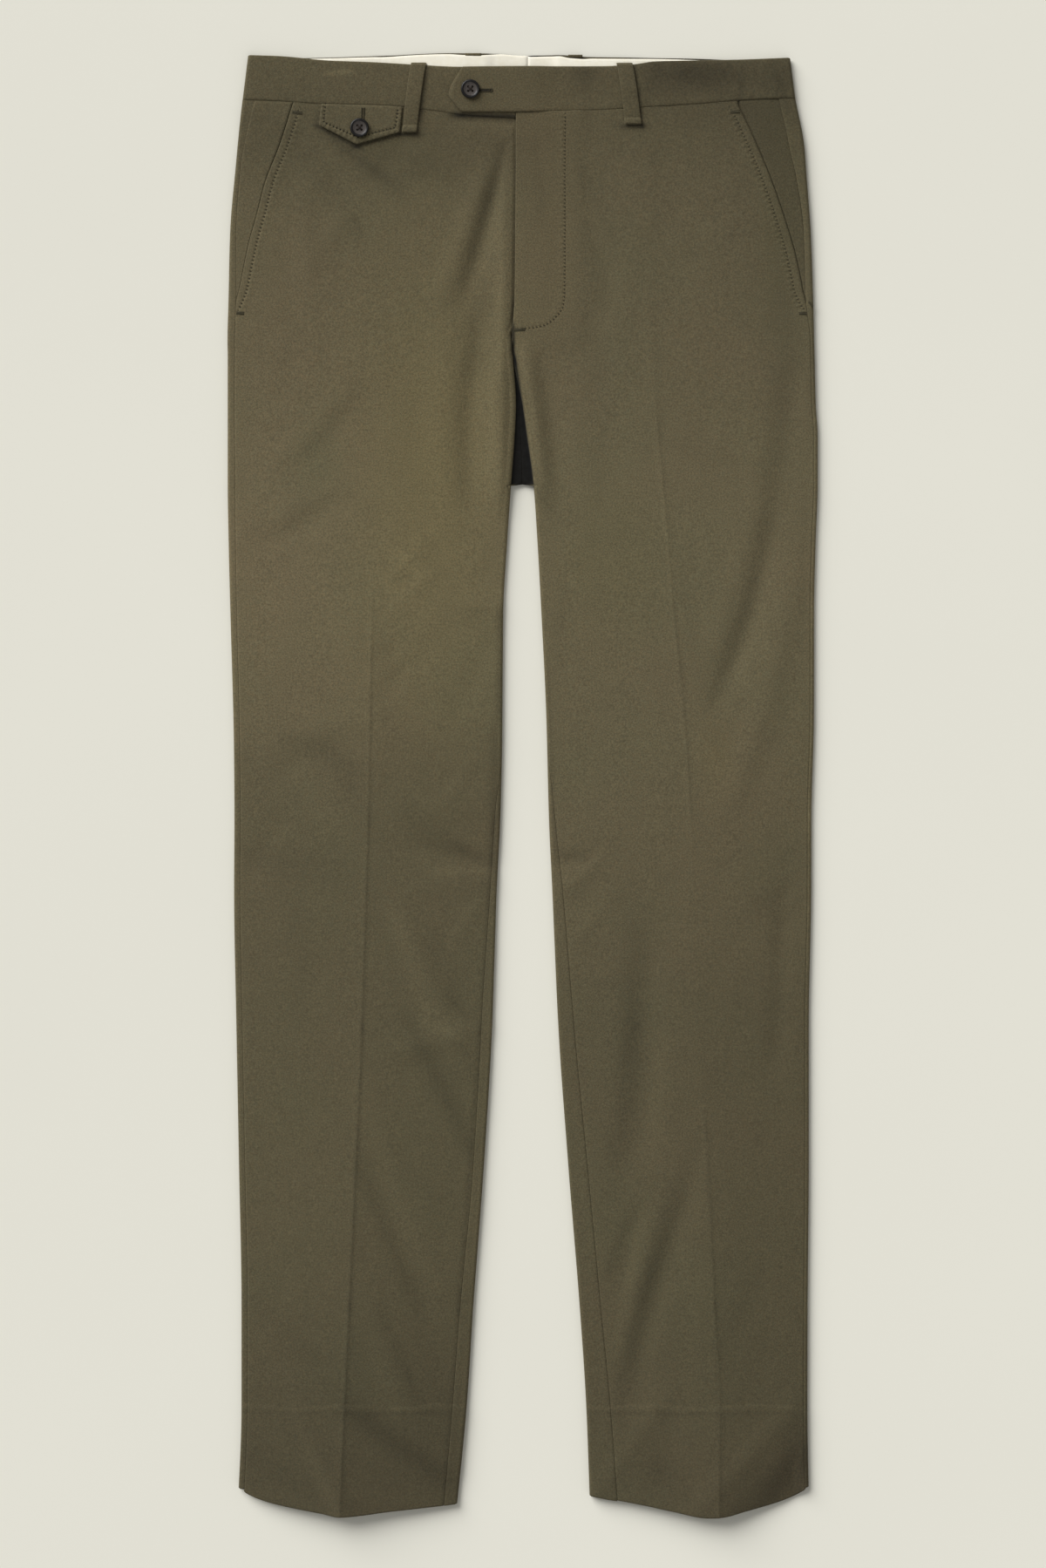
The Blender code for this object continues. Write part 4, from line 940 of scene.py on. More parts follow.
def tone_and_painted_light_at(name, points):
    """The cloth's colour at a piece's points in millimetres: brightness with the painted light and shade, how
    brown and how yellow it is.
    """
    x, y, z = points[:, 0], points[:, 1], points[:, 2]
    to_left = ease(x, -12.0, 12.0)
    bright = smooth(PAINTED_LIGHT_BY_LEVEL["right"], y) * (1 - to_left) + smooth(PAINTED_LIGHT_BY_LEVEL["left"], y) * to_left
    brown, yellow = np.full(len(points), 0.5), np.full(len(points), 0.1)
    for at_x, at_y, reach_x, reach_y, lighter, browner, yellower in TONE_AND_PAINTED_LIGHT_PATCHES:
        near = np.exp(-(((x - at_x) / reach_x) ** 2) - ((y - at_y) / reach_y) ** 2)
        bright += lighter * near
        brown += browner * near
        yellow += yellower * near
    bright = bright * (1 + strokes(PAINTED_LIGHT_AND_SHADE_BANDS + (PALE_STREAK,), x, y))
    for side in SIDES:
        if name.startswith(("front_" + side, "waistband_" + side)):
            bright = bright * (1 + strokes(UNDER_SHADES[side], x, y))
        if name.startswith("pocket_facing_" + side):
            bright = bright * FACING_PAINTED_SHADE[side]
    # Painted shade on the back waistband and back loops just below their upper edge, low in the gap under the
    # lining's edge.
    if name.startswith(("waistband_", "belt_loop_back")):
        bright = bright * (1 - 0.6 * (1 - ease(z, 2.2, 3.0)) * ease(y, 576.0, 582.0))
    # Painted shade, near black, on the low cloth in the fold between the legs below the fork.
    painted_valley_shade = (1 - ease(z, 3.5, 4.8)) * ease(y, FORK_LEVEL - 4, FORK_LEVEL - 1) * (1 - ease(np.abs(x), 13, 16))
    return np.column_stack([bright * (1 - 0.985 * painted_valley_shade), np.clip(brown, 0, 1), np.clip(yellow, 0, 1)])


def pocket_line(side, steps):
    """The slant pocket's line of stitches as (x, y) points, from its upper end."""
    line = []
    for level in np.linspace(*reversed(POCKET_STITCH_LEVELS[side]), steps):
        inset = POCKET_STITCH_INSET[side] * float(ease(level, *POCKET_STITCH_RUN_OUT))
        line.append(((front_outer_edge(side, level) - inset) * OUTWARD[side], level))
    return line


def stitch_paths():
    """The lines of x and y along which the cloth is stitched through, with how hard it is pinched."""
    return [
        (pocket_line("right", 24)[::-1], POCKET_PINCH), (pocket_line("left", 24), POCKET_PINCH),
        (rounded_line(FLY_STITCH), FLY_PINCH), (flap_line(), FLAP_PINCH),
    ]


def sewn_at(points):
    """Where points in millimetres lie beside the nearest stitched line: along it and across it."""
    nearest = np.full(len(points), 60.0)
    along, beside, strength = np.zeros(len(points)), np.full(len(points), 60.0), np.zeros(len(points))
    for path, hardness in stitch_paths():
        run = 0.0
        for (x0, y0), (x1, y1) in zip(path, path[1:]):
            length = math.hypot(x1 - x0, y1 - y0)
            step_x, step_y = (x1 - x0) / length, (y1 - y0) / length
            way = (points[:, 0] - x0) * step_x + (points[:, 1] - y0) * step_y
            side = (points[:, 0] - x0) * step_y - (points[:, 1] - y0) * step_x
            away = np.hypot(side, np.maximum(0.0, np.maximum(-way, way - length)))
            closer = away < nearest
            nearest = np.where(closer, away, nearest)
            along = np.where(closer, run + way, along)
            beside = np.where(closer, np.where(side < 0, -away, away), beside)
            strength = np.where(closer, hardness, strength)
            run += length
    return np.column_stack([along, beside, strength])


def make_mesh(name, points, faces, finish, slot, replaced=()):
    """One piece of the scene from points in millimetres, riding on the only body."""
    mesh = bpy.data.meshes.new(name)
    mesh.from_pydata((np.asarray(points) * MM).tolist(), [], faces)
    body = bmesh.new()
    body.from_mesh(mesh)
    if body.calc_volume(signed=True) < 0:
        bmesh.ops.reverse_faces(body, faces=body.faces)
    body.to_mesh(mesh)
    body.free()
    mesh.shade_smooth()
    tones_and_painted_light = np.ones((len(points), 4))
    tones_and_painted_light[:, :3] = tone_and_painted_light_at(name, np.asarray(points, float))
    layer = mesh.color_attributes.new("tone_and_painted_light", "FLOAT_COLOR", "POINT")
    layer.data.foreach_set("color", tones_and_painted_light.ravel())
    if name.startswith(SEWN_PIECES):
        layer = mesh.color_attributes.new("sewn", "FLOAT_COLOR", "POINT")
        sewn = np.column_stack([sewn_at(np.asarray(points, float)), np.ones(len(points))])
        layer.data.foreach_set("color", sewn.ravel())
    mesh.materials.append(finish)
    made = bpy.data.objects.new(name, mesh)
    bpy.context.scene.collection.objects.link(made)
    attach(made, "root")
    if replaced:
        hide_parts(*replaced)
    return made


def rim_of(rows, columns):
    """Rows and columns round the edge of a grid, each with its neighbour further in."""
    rim = [(0, column, min(1, rows - 1), column) for column in range(columns - 1)]
    rim += [(row, columns - 1, row, columns - 2) for row in range(rows - 1)]
    rim += [(rows - 1, column, rows - 2, column) for column in range(columns - 1, 0, -1)]
    rim += [(row, 0, row, 1) for row in range(rows - 1, 0, -1)]
    return rim


def shell_mesh(outer, inner, bulge=0.35):
    """Points and faces of a closed shell between two grids, with a rounded rim."""
    rows, columns = outer.shape[:2]
    index = np.arange(rows * columns).reshape(rows, columns)
    top = np.stack([index[:-1, :-1], index[:-1, 1:], index[1:, 1:], index[1:, :-1]], axis=-1).reshape(-1, 4)
    under = top[:, ::-1] + rows * columns
    rim = rim_of(rows, columns)
    middles = []
    for row, column, row_in, column_in in rim:
        edge = (outer[row, column] + inner[row, column]) / 2
        outwards = edge - (outer[row_in, column_in] + inner[row_in, column_in]) / 2
        wall = np.linalg.norm(outer[row, column] - inner[row, column])
        middles.append(edge + outwards / max(1e-9, np.linalg.norm(outwards)) * wall * bulge)
    points = np.concatenate([outer.reshape(-1, 3), inner.reshape(-1, 3), np.array(middles)])
    faces = top.tolist() + under.tolist()
    first_middle, count = 2 * rows * columns, len(rim)
    for number, (row, column, _, _) in enumerate(rim):
        follower = (number + 1) % count
        next_row, next_column = rim[follower][:2]
        one, other = int(index[row, column]), int(index[next_row, next_column])
        middle, next_middle = first_middle + number, first_middle + follower
        faces.append([other, one, middle, next_middle])
        faces.append([next_middle, middle, one + rows * columns, other + rows * columns])
    return points, faces


def make_cloth(node, outer, inner, finish, slot="olive_cloth"):
    """A shell of cloth over one node, which it hides."""
    outer, inner = np.array(outer), np.array(inner)
    made = make_mesh(node + "_cloth", *shell_mesh(outer, inner), finish, slot, (node,))


def make_panels(side, finish):
    """A leg's front, and its back, which turns round both edges and lies under the front."""
    for name, contour, columns, waists, hems, turn_over in (
        ("front_", front_contour, FRONT_COLUMNS, WAIST_SEAM, HEM_EDGE, 1.0),
        ("back_", back_contour, BACK_COLUMNS, WAIST_SEAM_BACK, HEM_EDGE_BACK, -1.0),
    ):
        waist = [(across, level - GAP / 2) for across, level in waists[side]]
        make_cloth(name + side, *panel_grids(side, contour, columns, waist, hems[side], turn_over), finish)


def make_facing(side, finish):
    """The slant pocket's facing: flush with the front where it shows, and tucked in below its edge."""
    outer, inner = [], []
    for level in np.linspace(WAIST_LEVEL, POCKET_END + 2.0, 70):
        edge = front_outer_edge(side, level)
        begin = seam_on_front(side, level) - GAP / 2
        bend = min(begin - 0.6, edge + FACING_TUCK[side])
        low = min(bend - 0.4, edge + 0.1)
        across = np.concatenate([
            np.linspace(begin, bend, 18), np.linspace(bend, low, 6)[1:],
            np.linspace(low, edge - FACING_OVERLAP, 5)[1:],
        ])
        waist = smooth(WAIST_SEAM[side], across) - GAP / 2 - WAIST_LEVEL
        y = level + waist * float(ease(level, WAIST_LEVEL - BLEND_LENGTH, WAIST_LEVEL))
        z = np.array([float(top_height(side, a, float(v))) for a, v in zip(across, y)])
        sink = FACING_SINK[side]
        z = z - sink - (CLOTH + GAP - sink) * (1 - ease(across, edge + 0.1, edge + FACING_TUCK[side]))
        outer.append(np.column_stack([across * OUTWARD[side], y, z]))
        inner.append(np.column_stack([across * OUTWARD[side], y, z - FACING_CLOTH]))
    make_cloth("pocket_facing_" + side, outer, inner, finish)


def band_top(side, across):
    """Height of the front waistband's outer face: the left one rises over the right one as the tab."""
    if side == "right":
        return BAND_TOP
    return TAB_TOP + (BAND_TOP - TAB_TOP) * float(ease(across, 8.0, 30.0))


def band_line(side, share):
    """The waistband's outer line: under the back, round the side and over the front, to its end."""
    edge = BAND_SIDES[side][0] * (1 - share) + BAND_SIDES[side][1] * share
    turn = edge - BAND_TURN
    under = np.concatenate([[GAP / 2], np.arange(8.0, 116.0, 4.0), np.linspace(120.0, 190.0, 8)])
    points = [(across, 0.0, 1.0) for across in under]
    for across, z in arc((turn, BAND_TOP / 2), (BAND_TURN, BAND_TOP / 2), -90, 90, 13):
        points.append((across, z, 1 - z / BAND_TOP))
    over = np.concatenate([
        np.linspace(turn - 6.0, 179.0, 10), np.arange(178.0, 170.0, -0.8), np.arange(168.0, 9.0, -3.0),
    ])
    end = BAND_END_RIGHT
    if side == "left":
        over = np.concatenate([over, np.arange(8.0, -40.0, -3.0)])
        end = float(smooth(TAB_END, share))
    last = np.linspace(over[-1], end, 8)[1:]
    return points + [(across, band_top(side, across), 0.0) for across in np.concatenate([over, last])]


def make_waistband(side, finish):
    """A waistband half, from the centre back round the side to the centre front."""
    outer, inner = [], []
    for share in BAND_ROWS:
        line = np.array(band_line(side, share))
        across, z, behind = line.T
        run = np.gradient(line[:, :2], axis=0)
        run /= np.linalg.norm(run, axis=1)[:, None]
        low = smooth(WAIST_SEAM_BACK[side], across) * behind + smooth(WAIST_SEAM[side], across) * (1 - behind)
        high = smooth(WAIST_TOP_BACK[side], across) * behind
        high = high + smooth(WAIST_TOP_FRONT[side], across) * (1 - behind)
        y = low + GAP / 2 + (high - low - GAP / 2) * share
        lift = np.where(behind == 1.0, back_lift(across, y), 0.0)
        x = across * OUTWARD[side]
        soft = strokes(BAND_FOLDS, x, y) + 0.35 * unevenness(x, y + 30.0)
        soft = soft * (1 - behind) * ease(np.abs(across), 6.0, 20.0)
        to_edge = np.minimum(y - low, high - y)
        soft = soft - 0.35 * np.exp(-to_edge / 1.0) * (1 - behind)
        z = z + lift + soft
        inside = line[:, :2] + BAND_CLOTH * np.column_stack([-run[:, 1], run[:, 0]])
        outer.append(np.column_stack([x, y, z]))
        inner.append(np.column_stack([inside[:, 0] * OUTWARD[side], y, inside[:, 1] + lift + soft]))
    make_cloth("waistband_" + side, outer, inner, finish)


# How far the lining's upper edge lies below the back waistband's: x and distance.
LINING_REVEAL = (
    (-221, 0.6), (-122, 0.9), (-112, 1.2), (-90, 0.8), (-60, 0.9), (-46, 1.6), (-33, 1.6), (-24, 0.8),
    (-15, 0.25), (3, 0.25),
    (7, 1.1), (30, 1.1), (37, 2.1), (48, 2.1), (56, 1.4), (75, 1.3), (112, 0.9), (140, 1.3), (165, 1.0),
    (215, 0.6),
)


def make_waistband_lining(side, finish):
    """The lining inside the back waistband: its two halves meet a little to the left of the middle."""
    begin = (LINING_SEAM - GAP / 2) if side == "right" else (LINING_SEAM + GAP / 2)
    begin *= OUTWARD[side]
    places = np.linspace(begin, BAND_SIDES[side][1] - LINING_END, 90)
    inside = np.abs(places)
    low = smooth(WAIST_SEAM_BACK[side], inside) + 1.0
    high = smooth(WAIST_TOP_BACK[side], inside) - smooth(LINING_REVEAL, places * OUTWARD[side])
    outer, inner = [], []
    for share in np.linspace(0.0, 1.0, 22):
        y = low + (high - low) * share
        z = LINING_TOP + back_lift(places, y) + 0.08 * np.sin(places / 4.3 + 3 * share)
        z = z - 0.25 * np.exp((begin - places) / 0.8)
        outer.append(np.column_stack([places * OUTWARD[side], y, z]))
        inner.append(np.column_stack([places * OUTWARD[side], y, z - LINING_CLOTH + 0.1]))
    make_cloth("waistband_lining_" + side, outer, inner, finish, "cream_lining")


def make_front_loop(side, finish):
    """A belt loop that bows a little off the waistband, with its lower end turned under."""
    (x0, y0), (x1, y1), wide, narrow = FRONT_LOOPS[side]
    shares = np.concatenate([
        np.linspace(-0.018, 0.03, 6), np.linspace(0.06, 0.88, 24), [0.9, 0.915, 0.93, 0.95, 0.98, 1.0],
    ])
    across = np.array([-1.0, -0.92, -0.75, -0.4, 0.0, 0.4, 0.75, 0.92, 1.0])
    outer, inner = [], []
    for share in shares:
        way = max(0.0, share)
        middle = x0 + (x1 - x0) * way**0.8
        half = (wide + (narrow - wide) * way) / 2
        y = y0 + (y1 - y0) * share
        turned_under = float(ease(share, 0.9, 0.93))
        wall = LOOP_CLOTH * (1 + turned_under)
        bow = math.sin(math.pi * min(1.0, way / FRONT_LOOP_TACK))
        z = BAND_TOP + GAP + FRONT_LOOP_BOW * bow + wall
        z -= 1.7 * (1 - float(ease(share, -0.018, 0.02)))
        z -= 0.25 * math.exp(-(((share - 0.9) / 0.012) ** 2))
        x = middle + across * half
        rounded = -0.3 * np.abs(across) ** 6
        outer.append(np.column_stack([x, np.full(9, y), z + rounded]))
        inner.append(np.column_stack([x, np.full(9, y), np.full(9, z - wall)]))
    make_cloth("belt_loop_front_" + side, outer, inner, finish)


def make_back_loop(side, finish):
    """A belt loop pressed flat under the back waistband, turned over its upper edge."""
    middle, top, width = BACK_LOOPS[side]
    across = middle + np.linspace(-0.5, 0.5, 7) * width
    # The outer face's y and z in each row, and the way from there to the inner face.
    line = [(top - BACK_LOOP_LENGTH + 4.0 * step, 0.0, 0.0, LOOP_CLOTH) for step in range(14)]
    for angle in np.radians(np.linspace(-90, 90, 9)):
        out, up = math.cos(angle), math.sin(angle)
        line.append((top - 1.0 + out, 2.1 + 2.1 * up, -0.9 * out, -0.9 * up))
    line.append((top - 2.4, 4.1, 0.0, -0.9))
    outer = [[(x, y, z) for x in across] for y, z, _, _ in line]
    inner = [[(x, y + in_y, z + in_z) for x in across] for y, z, in_y, in_z in line]
    make_cloth("belt_loop_back_" + side, outer, inner, finish)


def flap_point(share, t):
    """x, y and the outer height of the flap: share runs from its seam to its lower edge, t across it."""
    lower = [(-across, level) for across, level in FLAP_BOTTOM]
    x_top = -FLAP_TOP[0] + (FLAP_TOP[0] - FLAP_TOP[1]) * t
    first, point, last = lower
    start, end, part = (first, point, t * 2) if t <= 0.5 else (point, last, t * 2 - 1)
    x_low = start[0] + (end[0] - start[0]) * part
    y_low = start[1] + (end[1] - start[1]) * part
    y_top = float(smooth(WAIST_SEAM["right"], -x_top)) - GAP
    x, y = x_top + (x_low - x_top) * share, y_top + (y_low - y_top) * share
    lift = GAP + FLAP_LIFT * share**1.5
    return x, y, float(top_height("right", -x, y)) + lift + CLOTH


def make_ticket_flap(finish):
    """The pointed flap of the ticket pocket, with pressed edges and a line of stitches inside them."""
    columns = np.concatenate([
        np.linspace(0.0, 0.08, 6), np.linspace(0.11, 0.89, 25), np.linspace(0.92, 1.0, 6),
    ])
    outer, inner = [], []
    for share in np.concatenate([np.linspace(0.0, 0.7, 12), np.linspace(0.76, 1.0, 9)]):
        top_row, under_row = [], []
        for t in columns:
            x, y, z = flap_point(share, t)
            from_side = min(t, 1 - t) * (FLAP_TOP[0] - FLAP_TOP[1])
            from_low = (1 - share) * 17.0
            sewn = 0.14 * math.exp(-(((from_low - 3.0) / 0.9) ** 2))
            sewn += 0.1 * math.exp(-(((from_side - 3.0) / 0.9) ** 2))
            worn = 0.3 * math.exp(-min(from_side, from_low) / 0.6)
            top_row.append((x, y, z - sewn - worn))
            under_row.append((x, y, z - CLOTH))
        outer.append(top_row)
        inner.append(under_row)
    make_cloth("ticket_flap", outer, inner, finish)


class Threads:
    """Collects many short tubes of thread into one mesh."""

    def __init__(self):
        self.points = []
        self.faces = []

    def tube(self, path, radius, sides=6):
        """A closed tube along a path of (x, y, z) points, with pointed ends."""
        path = np.array(path, float)
        run = np.gradient(path, axis=0)
        run /= np.linalg.norm(run, axis=1)[:, None]
        beside = np.cross(run, (0.0, 0.0, 1.0))
        weak = np.linalg.norm(beside, axis=1) < 1e-6
        beside[weak] = (1.0, 0.0, 0.0)
        beside /= np.linalg.norm(beside, axis=1)[:, None]
        above = np.cross(beside, run)
        start = len(self.points)
        for place, side_way, up_way in zip(path, beside, above):
            for number in range(sides):
                angle = 2 * math.pi * number / sides
                self.points.append(place + radius * (math.cos(angle) * side_way + math.sin(angle) * up_way))
        for ring in range(len(path) - 1):
            for number in range(sides):
                one, other = start + ring * sides + number, start + ring * sides + (number + 1) % sides
                self.faces.append([one, other, other + sides, one + sides])
        last = start + (len(path) - 1) * sides
        self.faces.append([start + number for number in reversed(range(sides))])
        self.faces.append([last + number for number in range(sides)])

    def stitch(self, start, end, up=0.28, radius=THREAD_RADIUS, sides=6):
        """One stitch between two points: it rises out of the cloth and goes back in."""
        start, end = np.array(start, float), np.array(end, float)
        raised = np.array([0.0, 0.0, up])
        shares = (0.0, 0.12, 0.5, 0.88, 1.0)
        lifts = (-0.5, 0.5, 1.0, 0.5, -0.5)
        path = [start + (end - start) * share + raised * lift for share, lift in zip(shares, lifts)]
        self.tube(path, radius, sides)

    def build(self, name, finish, slot="olive_cloth"):
        make_mesh(name, self.points, self.faces, finish, slot)


def rounded_line(points, steps=120):
    """A smooth line through points of (x, y)."""
    points = np.array(points, float)
    run = np.concatenate([[0.0], np.cumsum(np.linalg.norm(np.diff(points, axis=0), axis=1))])
    fine = np.linspace(0.0, run[-1], steps)
    return list(zip(smooth(list(zip(run, points[:, 0])), fine), smooth(list(zip(run, points[:, 1])), fine)))


def walk(points, pitch):
    """Places along a line of (x, y) points at an even pitch, each with the line's direction."""
    x, y = np.array(rounded_line(points, 400)).T
    length = np.concatenate([[0.0], np.cumsum(np.hypot(np.diff(x), np.diff(y)))])
    marks = np.arange(pitch / 2, length[-1], pitch)
    places = np.column_stack([np.interp(marks, length, x), np.interp(marks, length, y)])
    runs = [np.interp(marks, length, np.gradient(line, length)) for line in (x, y)]
    return places, np.column_stack(runs)


# The line of stitches inside the flap's free edges: how far across the flap, and how far down it.
FLAP_STITCH = (
    (0.05, 0.06), (0.05, 0.45), (0.055, 0.8), (0.5, 0.83), (0.945, 0.8), (0.95, 0.45), (0.95, 0.06),
)


def flap_line():
    """The flap's line of stitches as (x, y) points."""
    line = []
    for (t0, share0), (t1, share1) in zip(FLAP_STITCH, FLAP_STITCH[1:]):
        for part in np.linspace(0.0, 1.0, 8, endpoint=False):
            line.append(flap_point(share0 + (share1 - share0) * part, t0 + (t1 - t0) * part)[:2])
    return line


def stitch_line(threads, points, height_at, length):
    """A row of stitches along a line, each a little off its neighbours as hand-guided sewing is."""
    places, directions = walk(points, STITCH_PITCH)
    for number, (place, direction) in enumerate(zip(places, directions)):
        wobble = 0.12 * math.sin(number * 2.4) + 0.08 * math.sin(number * 0.7)
        centre = place + wobble * np.array([-direction[1], direction[0]])
        ends = [centre - direction * length / 2, centre + direction * length / 2]
        start, end = [(float(x), float(y), height_at(float(x), float(y))) for x, y in ends]
        threads.stitch(start, end)


def bar_tack(threads, x0, y0, x1, y1, width, height_at):
    """A bar of close stitches across the line between two points."""
    length = math.hypot(x1 - x0, y1 - y0)
    along = np.array([x1 - x0, y1 - y0]) / length
    beside = np.array([-along[1], along[0]])
    for number in range(int(length / TACK_PITCH)):
        centre = np.array([x0, y0]) + along * (number + 0.5) * TACK_PITCH
        ends = [centre - beside * width / 2, centre + beside * width / 2 + along * TACK_PITCH * 0.4]
        start, end = [(float(x), float(y), height_at(float(x), float(y))) for x, y in ends]
        threads.stitch(start, end, up=0.3, radius=0.2, sides=5)


def make_sewing(thread, dark_thread_and_shade):
    """The pockets' and the fly's topstitching, and the bar tacks, with dark tubes of painted shade beside the
    tacks.
    """
    for side in SIDES:
        threads = Threads()

        def height_at(x, y):
            return float(top_height(side, x * OUTWARD[side], y))

        stitch_line(threads, pocket_line(side, 12), height_at, length=1.3)
        for tack in BAR_TACKS[side]:
            bar_tack(threads, *tack, height_at)
        threads.build("stitches_" + side, thread)
        threads = Threads()
        # Dark tubes beside each bar tack are painted shade: they stand for the shaded grooves where the tack
        # pulls the cloth in.
        for x0, y0, x1, y1, width in BAR_TACKS[side]:
            for beside in (-0.5, 0.5):
                shift = beside * (width + 0.7)
                ends = [(x, y + shift, height_at(x, y + shift) - 0.05) for x, y in ((x0, y0), (x1, y1))]
                threads.tube([ends[0], np.mean(ends, axis=0), ends[1]], 0.28, 8)
        if side == "left":
            stitch_line(threads, FLY_STITCH, height_at, length=1.6)
        threads.build("pinched_tacks_" + side, dark_thread_and_shade)


def make_flap_sewing(thread):
    """The flap's edge stitches and its buttonhole, which the button has been pushed through."""
    threads = Threads()
    for (t0, share0), (t1, share1) in zip(FLAP_STITCH, FLAP_STITCH[1:]):
        start, end = np.array(flap_point(share0, t0)), np.array(flap_point(share1, t1))
        run = np.linalg.norm(end - start)
        for number in range(int(run / STITCH_PITCH)):
            part = (number + 0.5) * STITCH_PITCH / run
            middle = np.array(flap_point(share0 + (share1 - share0) * part, t0 + (t1 - t0) * part))
            step = (end - start) / run * 0.7
            threads.stitch(middle - step - (0, 0, 0.1), middle + step - (0, 0, 0.1))
    for x_side in (-0.9, 0.9):
        for number in range(26):
            y = FLAP_HOLE[1] + number * HOLE_PITCH
            x = FLAP_HOLE[0] + x_side + 0.02 * (y - FLAP_HOLE[1])
            z = float(top_height("right", -x, y)) + GAP + CLOTH + 0.2 * FLAP_LIFT
            threads.stitch((x - 0.55, y, z), (x + 0.55, y, z), up=0.3, radius=0.16, sides=5)
    threads.build("stitches_flap", thread)


def make_buttonhole(thread, dark_thread_and_shade):
    """The keyhole buttonhole on the tab, beside the waist button."""
    threads = Threads()
    z = TAB_TOP + 0.02
    foot, level = TAB_HOLE
    for y in (level - 1.0, level + 1.0):
        for number in range(24):
            x = foot + number * HOLE_PITCH
            threads.stitch((x, y - 0.5, z), (x, y + 0.5, z), up=0.3, radius=0.17, sides=5)
    for number in range(18):
        angle = 2 * math.pi * number / 18
        way = np.array([math.cos(angle), math.sin(angle)])
        centre = np.array([TAB_HOLE_EYE, level])
        start, end = centre + way * 0.75, centre + way * 1.75
        threads.stitch((*start, z), (*end, z), up=0.32, radius=0.17, sides=5)
    threads.build("buttonhole_waist", thread)
    # A near-black tube along the buttonhole's slit: painted shade in the cut's opening.
    slit_shade = Threads()
    ends = ((-0.4, 0.1), (5.0, 0.02), (9.0, 0.02), (10.0, 0.1))
    slit_shade.tube([(foot + along, level, z - depth) for along, depth in ends], 0.35, 8)
    slit_shade.build("buttonhole_waist_slit", dark_thread_and_shade)


def solid_of(made):
    """The mesh of an object with its modifiers applied."""
    graph = bpy.context.evaluated_depsgraph_get()
    return bpy.data.meshes.new_from_object(made.evaluated_get(graph))


def make_button(name, node, place, seat, thread):
    """A dished four-hole button with a polished rim, sewn on with a cross of thread."""
    profile = (
        (0.0, 0.0), (0.55, 0.0), (0.74, 0.04), (0.88, 0.16), (0.97, 0.34), (1.0, 0.52), (0.99, 0.7),
        (0.955, 0.86),
        (0.9, 0.96), (0.84, 0.985), (0.785, 0.93), (0.75, 0.82), (0.72, 0.72), (0.66, 0.66), (0.45, 0.60),
        (0.2, 0.56), (0.0, 0.55),
    )
    body = bmesh.new()
    line = [body.verts.new((r * BUTTON_RADIUS * MM, 0, z * BUTTON_HEIGHT * MM)) for r, z in profile]
    edges = [body.edges.new(pair) for pair in zip(line, line[1:])]
    bmesh.ops.spin(
        body, geom=line + edges, cent=(0, 0, 0), axis=(0, 0, 1), angle=2 * math.pi, steps=64, use_merge=True,
    )
    bmesh.ops.remove_doubles(body, verts=body.verts, dist=1e-6)
    bmesh.ops.recalc_face_normals(body, faces=body.faces)
    mesh = bpy.data.meshes.new(name)
    body.to_mesh(mesh)
    body.free()
    button = bpy.data.objects.new(name, mesh)
    bpy.context.scene.collection.objects.link(button)
    reach = BUTTON_HOLE_OFFSET * math.sqrt(2)
    holes = [(reach * math.cos(angle), reach * math.sin(angle)) for angle in np.radians((45, 135, 225, 315))]
    cutters = []
    for x, y in holes:
        bpy.ops.mesh.primitive_cylinder_add(
            vertices=20, radius=BUTTON_HOLE_RADIUS * MM, depth=4 * BUTTON_HEIGHT * MM,
            location=(x * MM, y * MM, BUTTON_HEIGHT / 2 * MM),
        )
        cutters.append(bpy.context.active_object)
        cut = button.modifiers.new("hole", "BOOLEAN")
        cut.operation = "DIFFERENCE"
        cut.object = cutters[-1]
    whole = solid_of(button)
    button.modifiers.clear()
    button.data = whole
    for cutter in cutters:
        bpy.data.objects.remove(cutter)
    whole.transform(Matrix.Translation((place[0] * MM, place[1] * MM, seat * MM)))
    whole.shade_smooth()
    whole.set_sharp_from_angle(angle=math.radians(42))
    whole.materials.clear()
    whole.materials.append(button_material(name, place))
    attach(button, "root")
    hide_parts(node)
    threads = Threads()
    top = seat + 0.56 * BUTTON_HEIGHT
    for one, other in ((0, 2), (1, 3)):
        for beside in (-0.28, 0.0, 0.28):
            run = np.array(holes[other]) - np.array(holes[one])
            run /= np.linalg.norm(run)
            shift = np.array([-run[1], run[0]]) * beside + np.array(place)
            start, end = np.array(holes[one]) + shift, np.array(holes[other]) + shift
            arch = (
                (-0.02, -1.2), (0.02, 0.0), (0.15, 0.42), (0.5, 0.62 + 0.12 * one), (0.85, 0.42),
                (0.98, 0.0), (1.02, -1.2),
            )
            threads.tube([(*(start + (end - start) * share), top + height) for share, height in arch], 0.19)
    threads.build(name + "_thread", thread, "button")


def add_node(tree, kind, inputs=None, **settings):
    """A shader node, with its inputs set to values or linked from other nodes' sockets."""
    node = tree.nodes.new(kind)
    for key, value in settings.items():
        setattr(node, key, value)
    for key, value in (inputs or {}).items():
        if isinstance(value, bpy.types.NodeSocket):
            tree.links.new(value, node.inputs[key])
        else:
            node.inputs[key].default_value = value
    return node


def new_material(name, colour, roughness):
    """A material with its tree, its shader and the object coordinates."""
    made = bpy.data.materials.new(name)
    made.use_nodes = True
    made.diffuse_color = opaque(colour)
    tree = made.node_tree
    shader = tree.nodes["Principled BSDF"]
    shader.inputs["Base Color"].default_value = opaque(colour)
    shader.inputs["Roughness"].default_value = roughness
    place = add_node(tree, "ShaderNodeTexCoord").outputs["Object"]
    return made, tree, shader, place


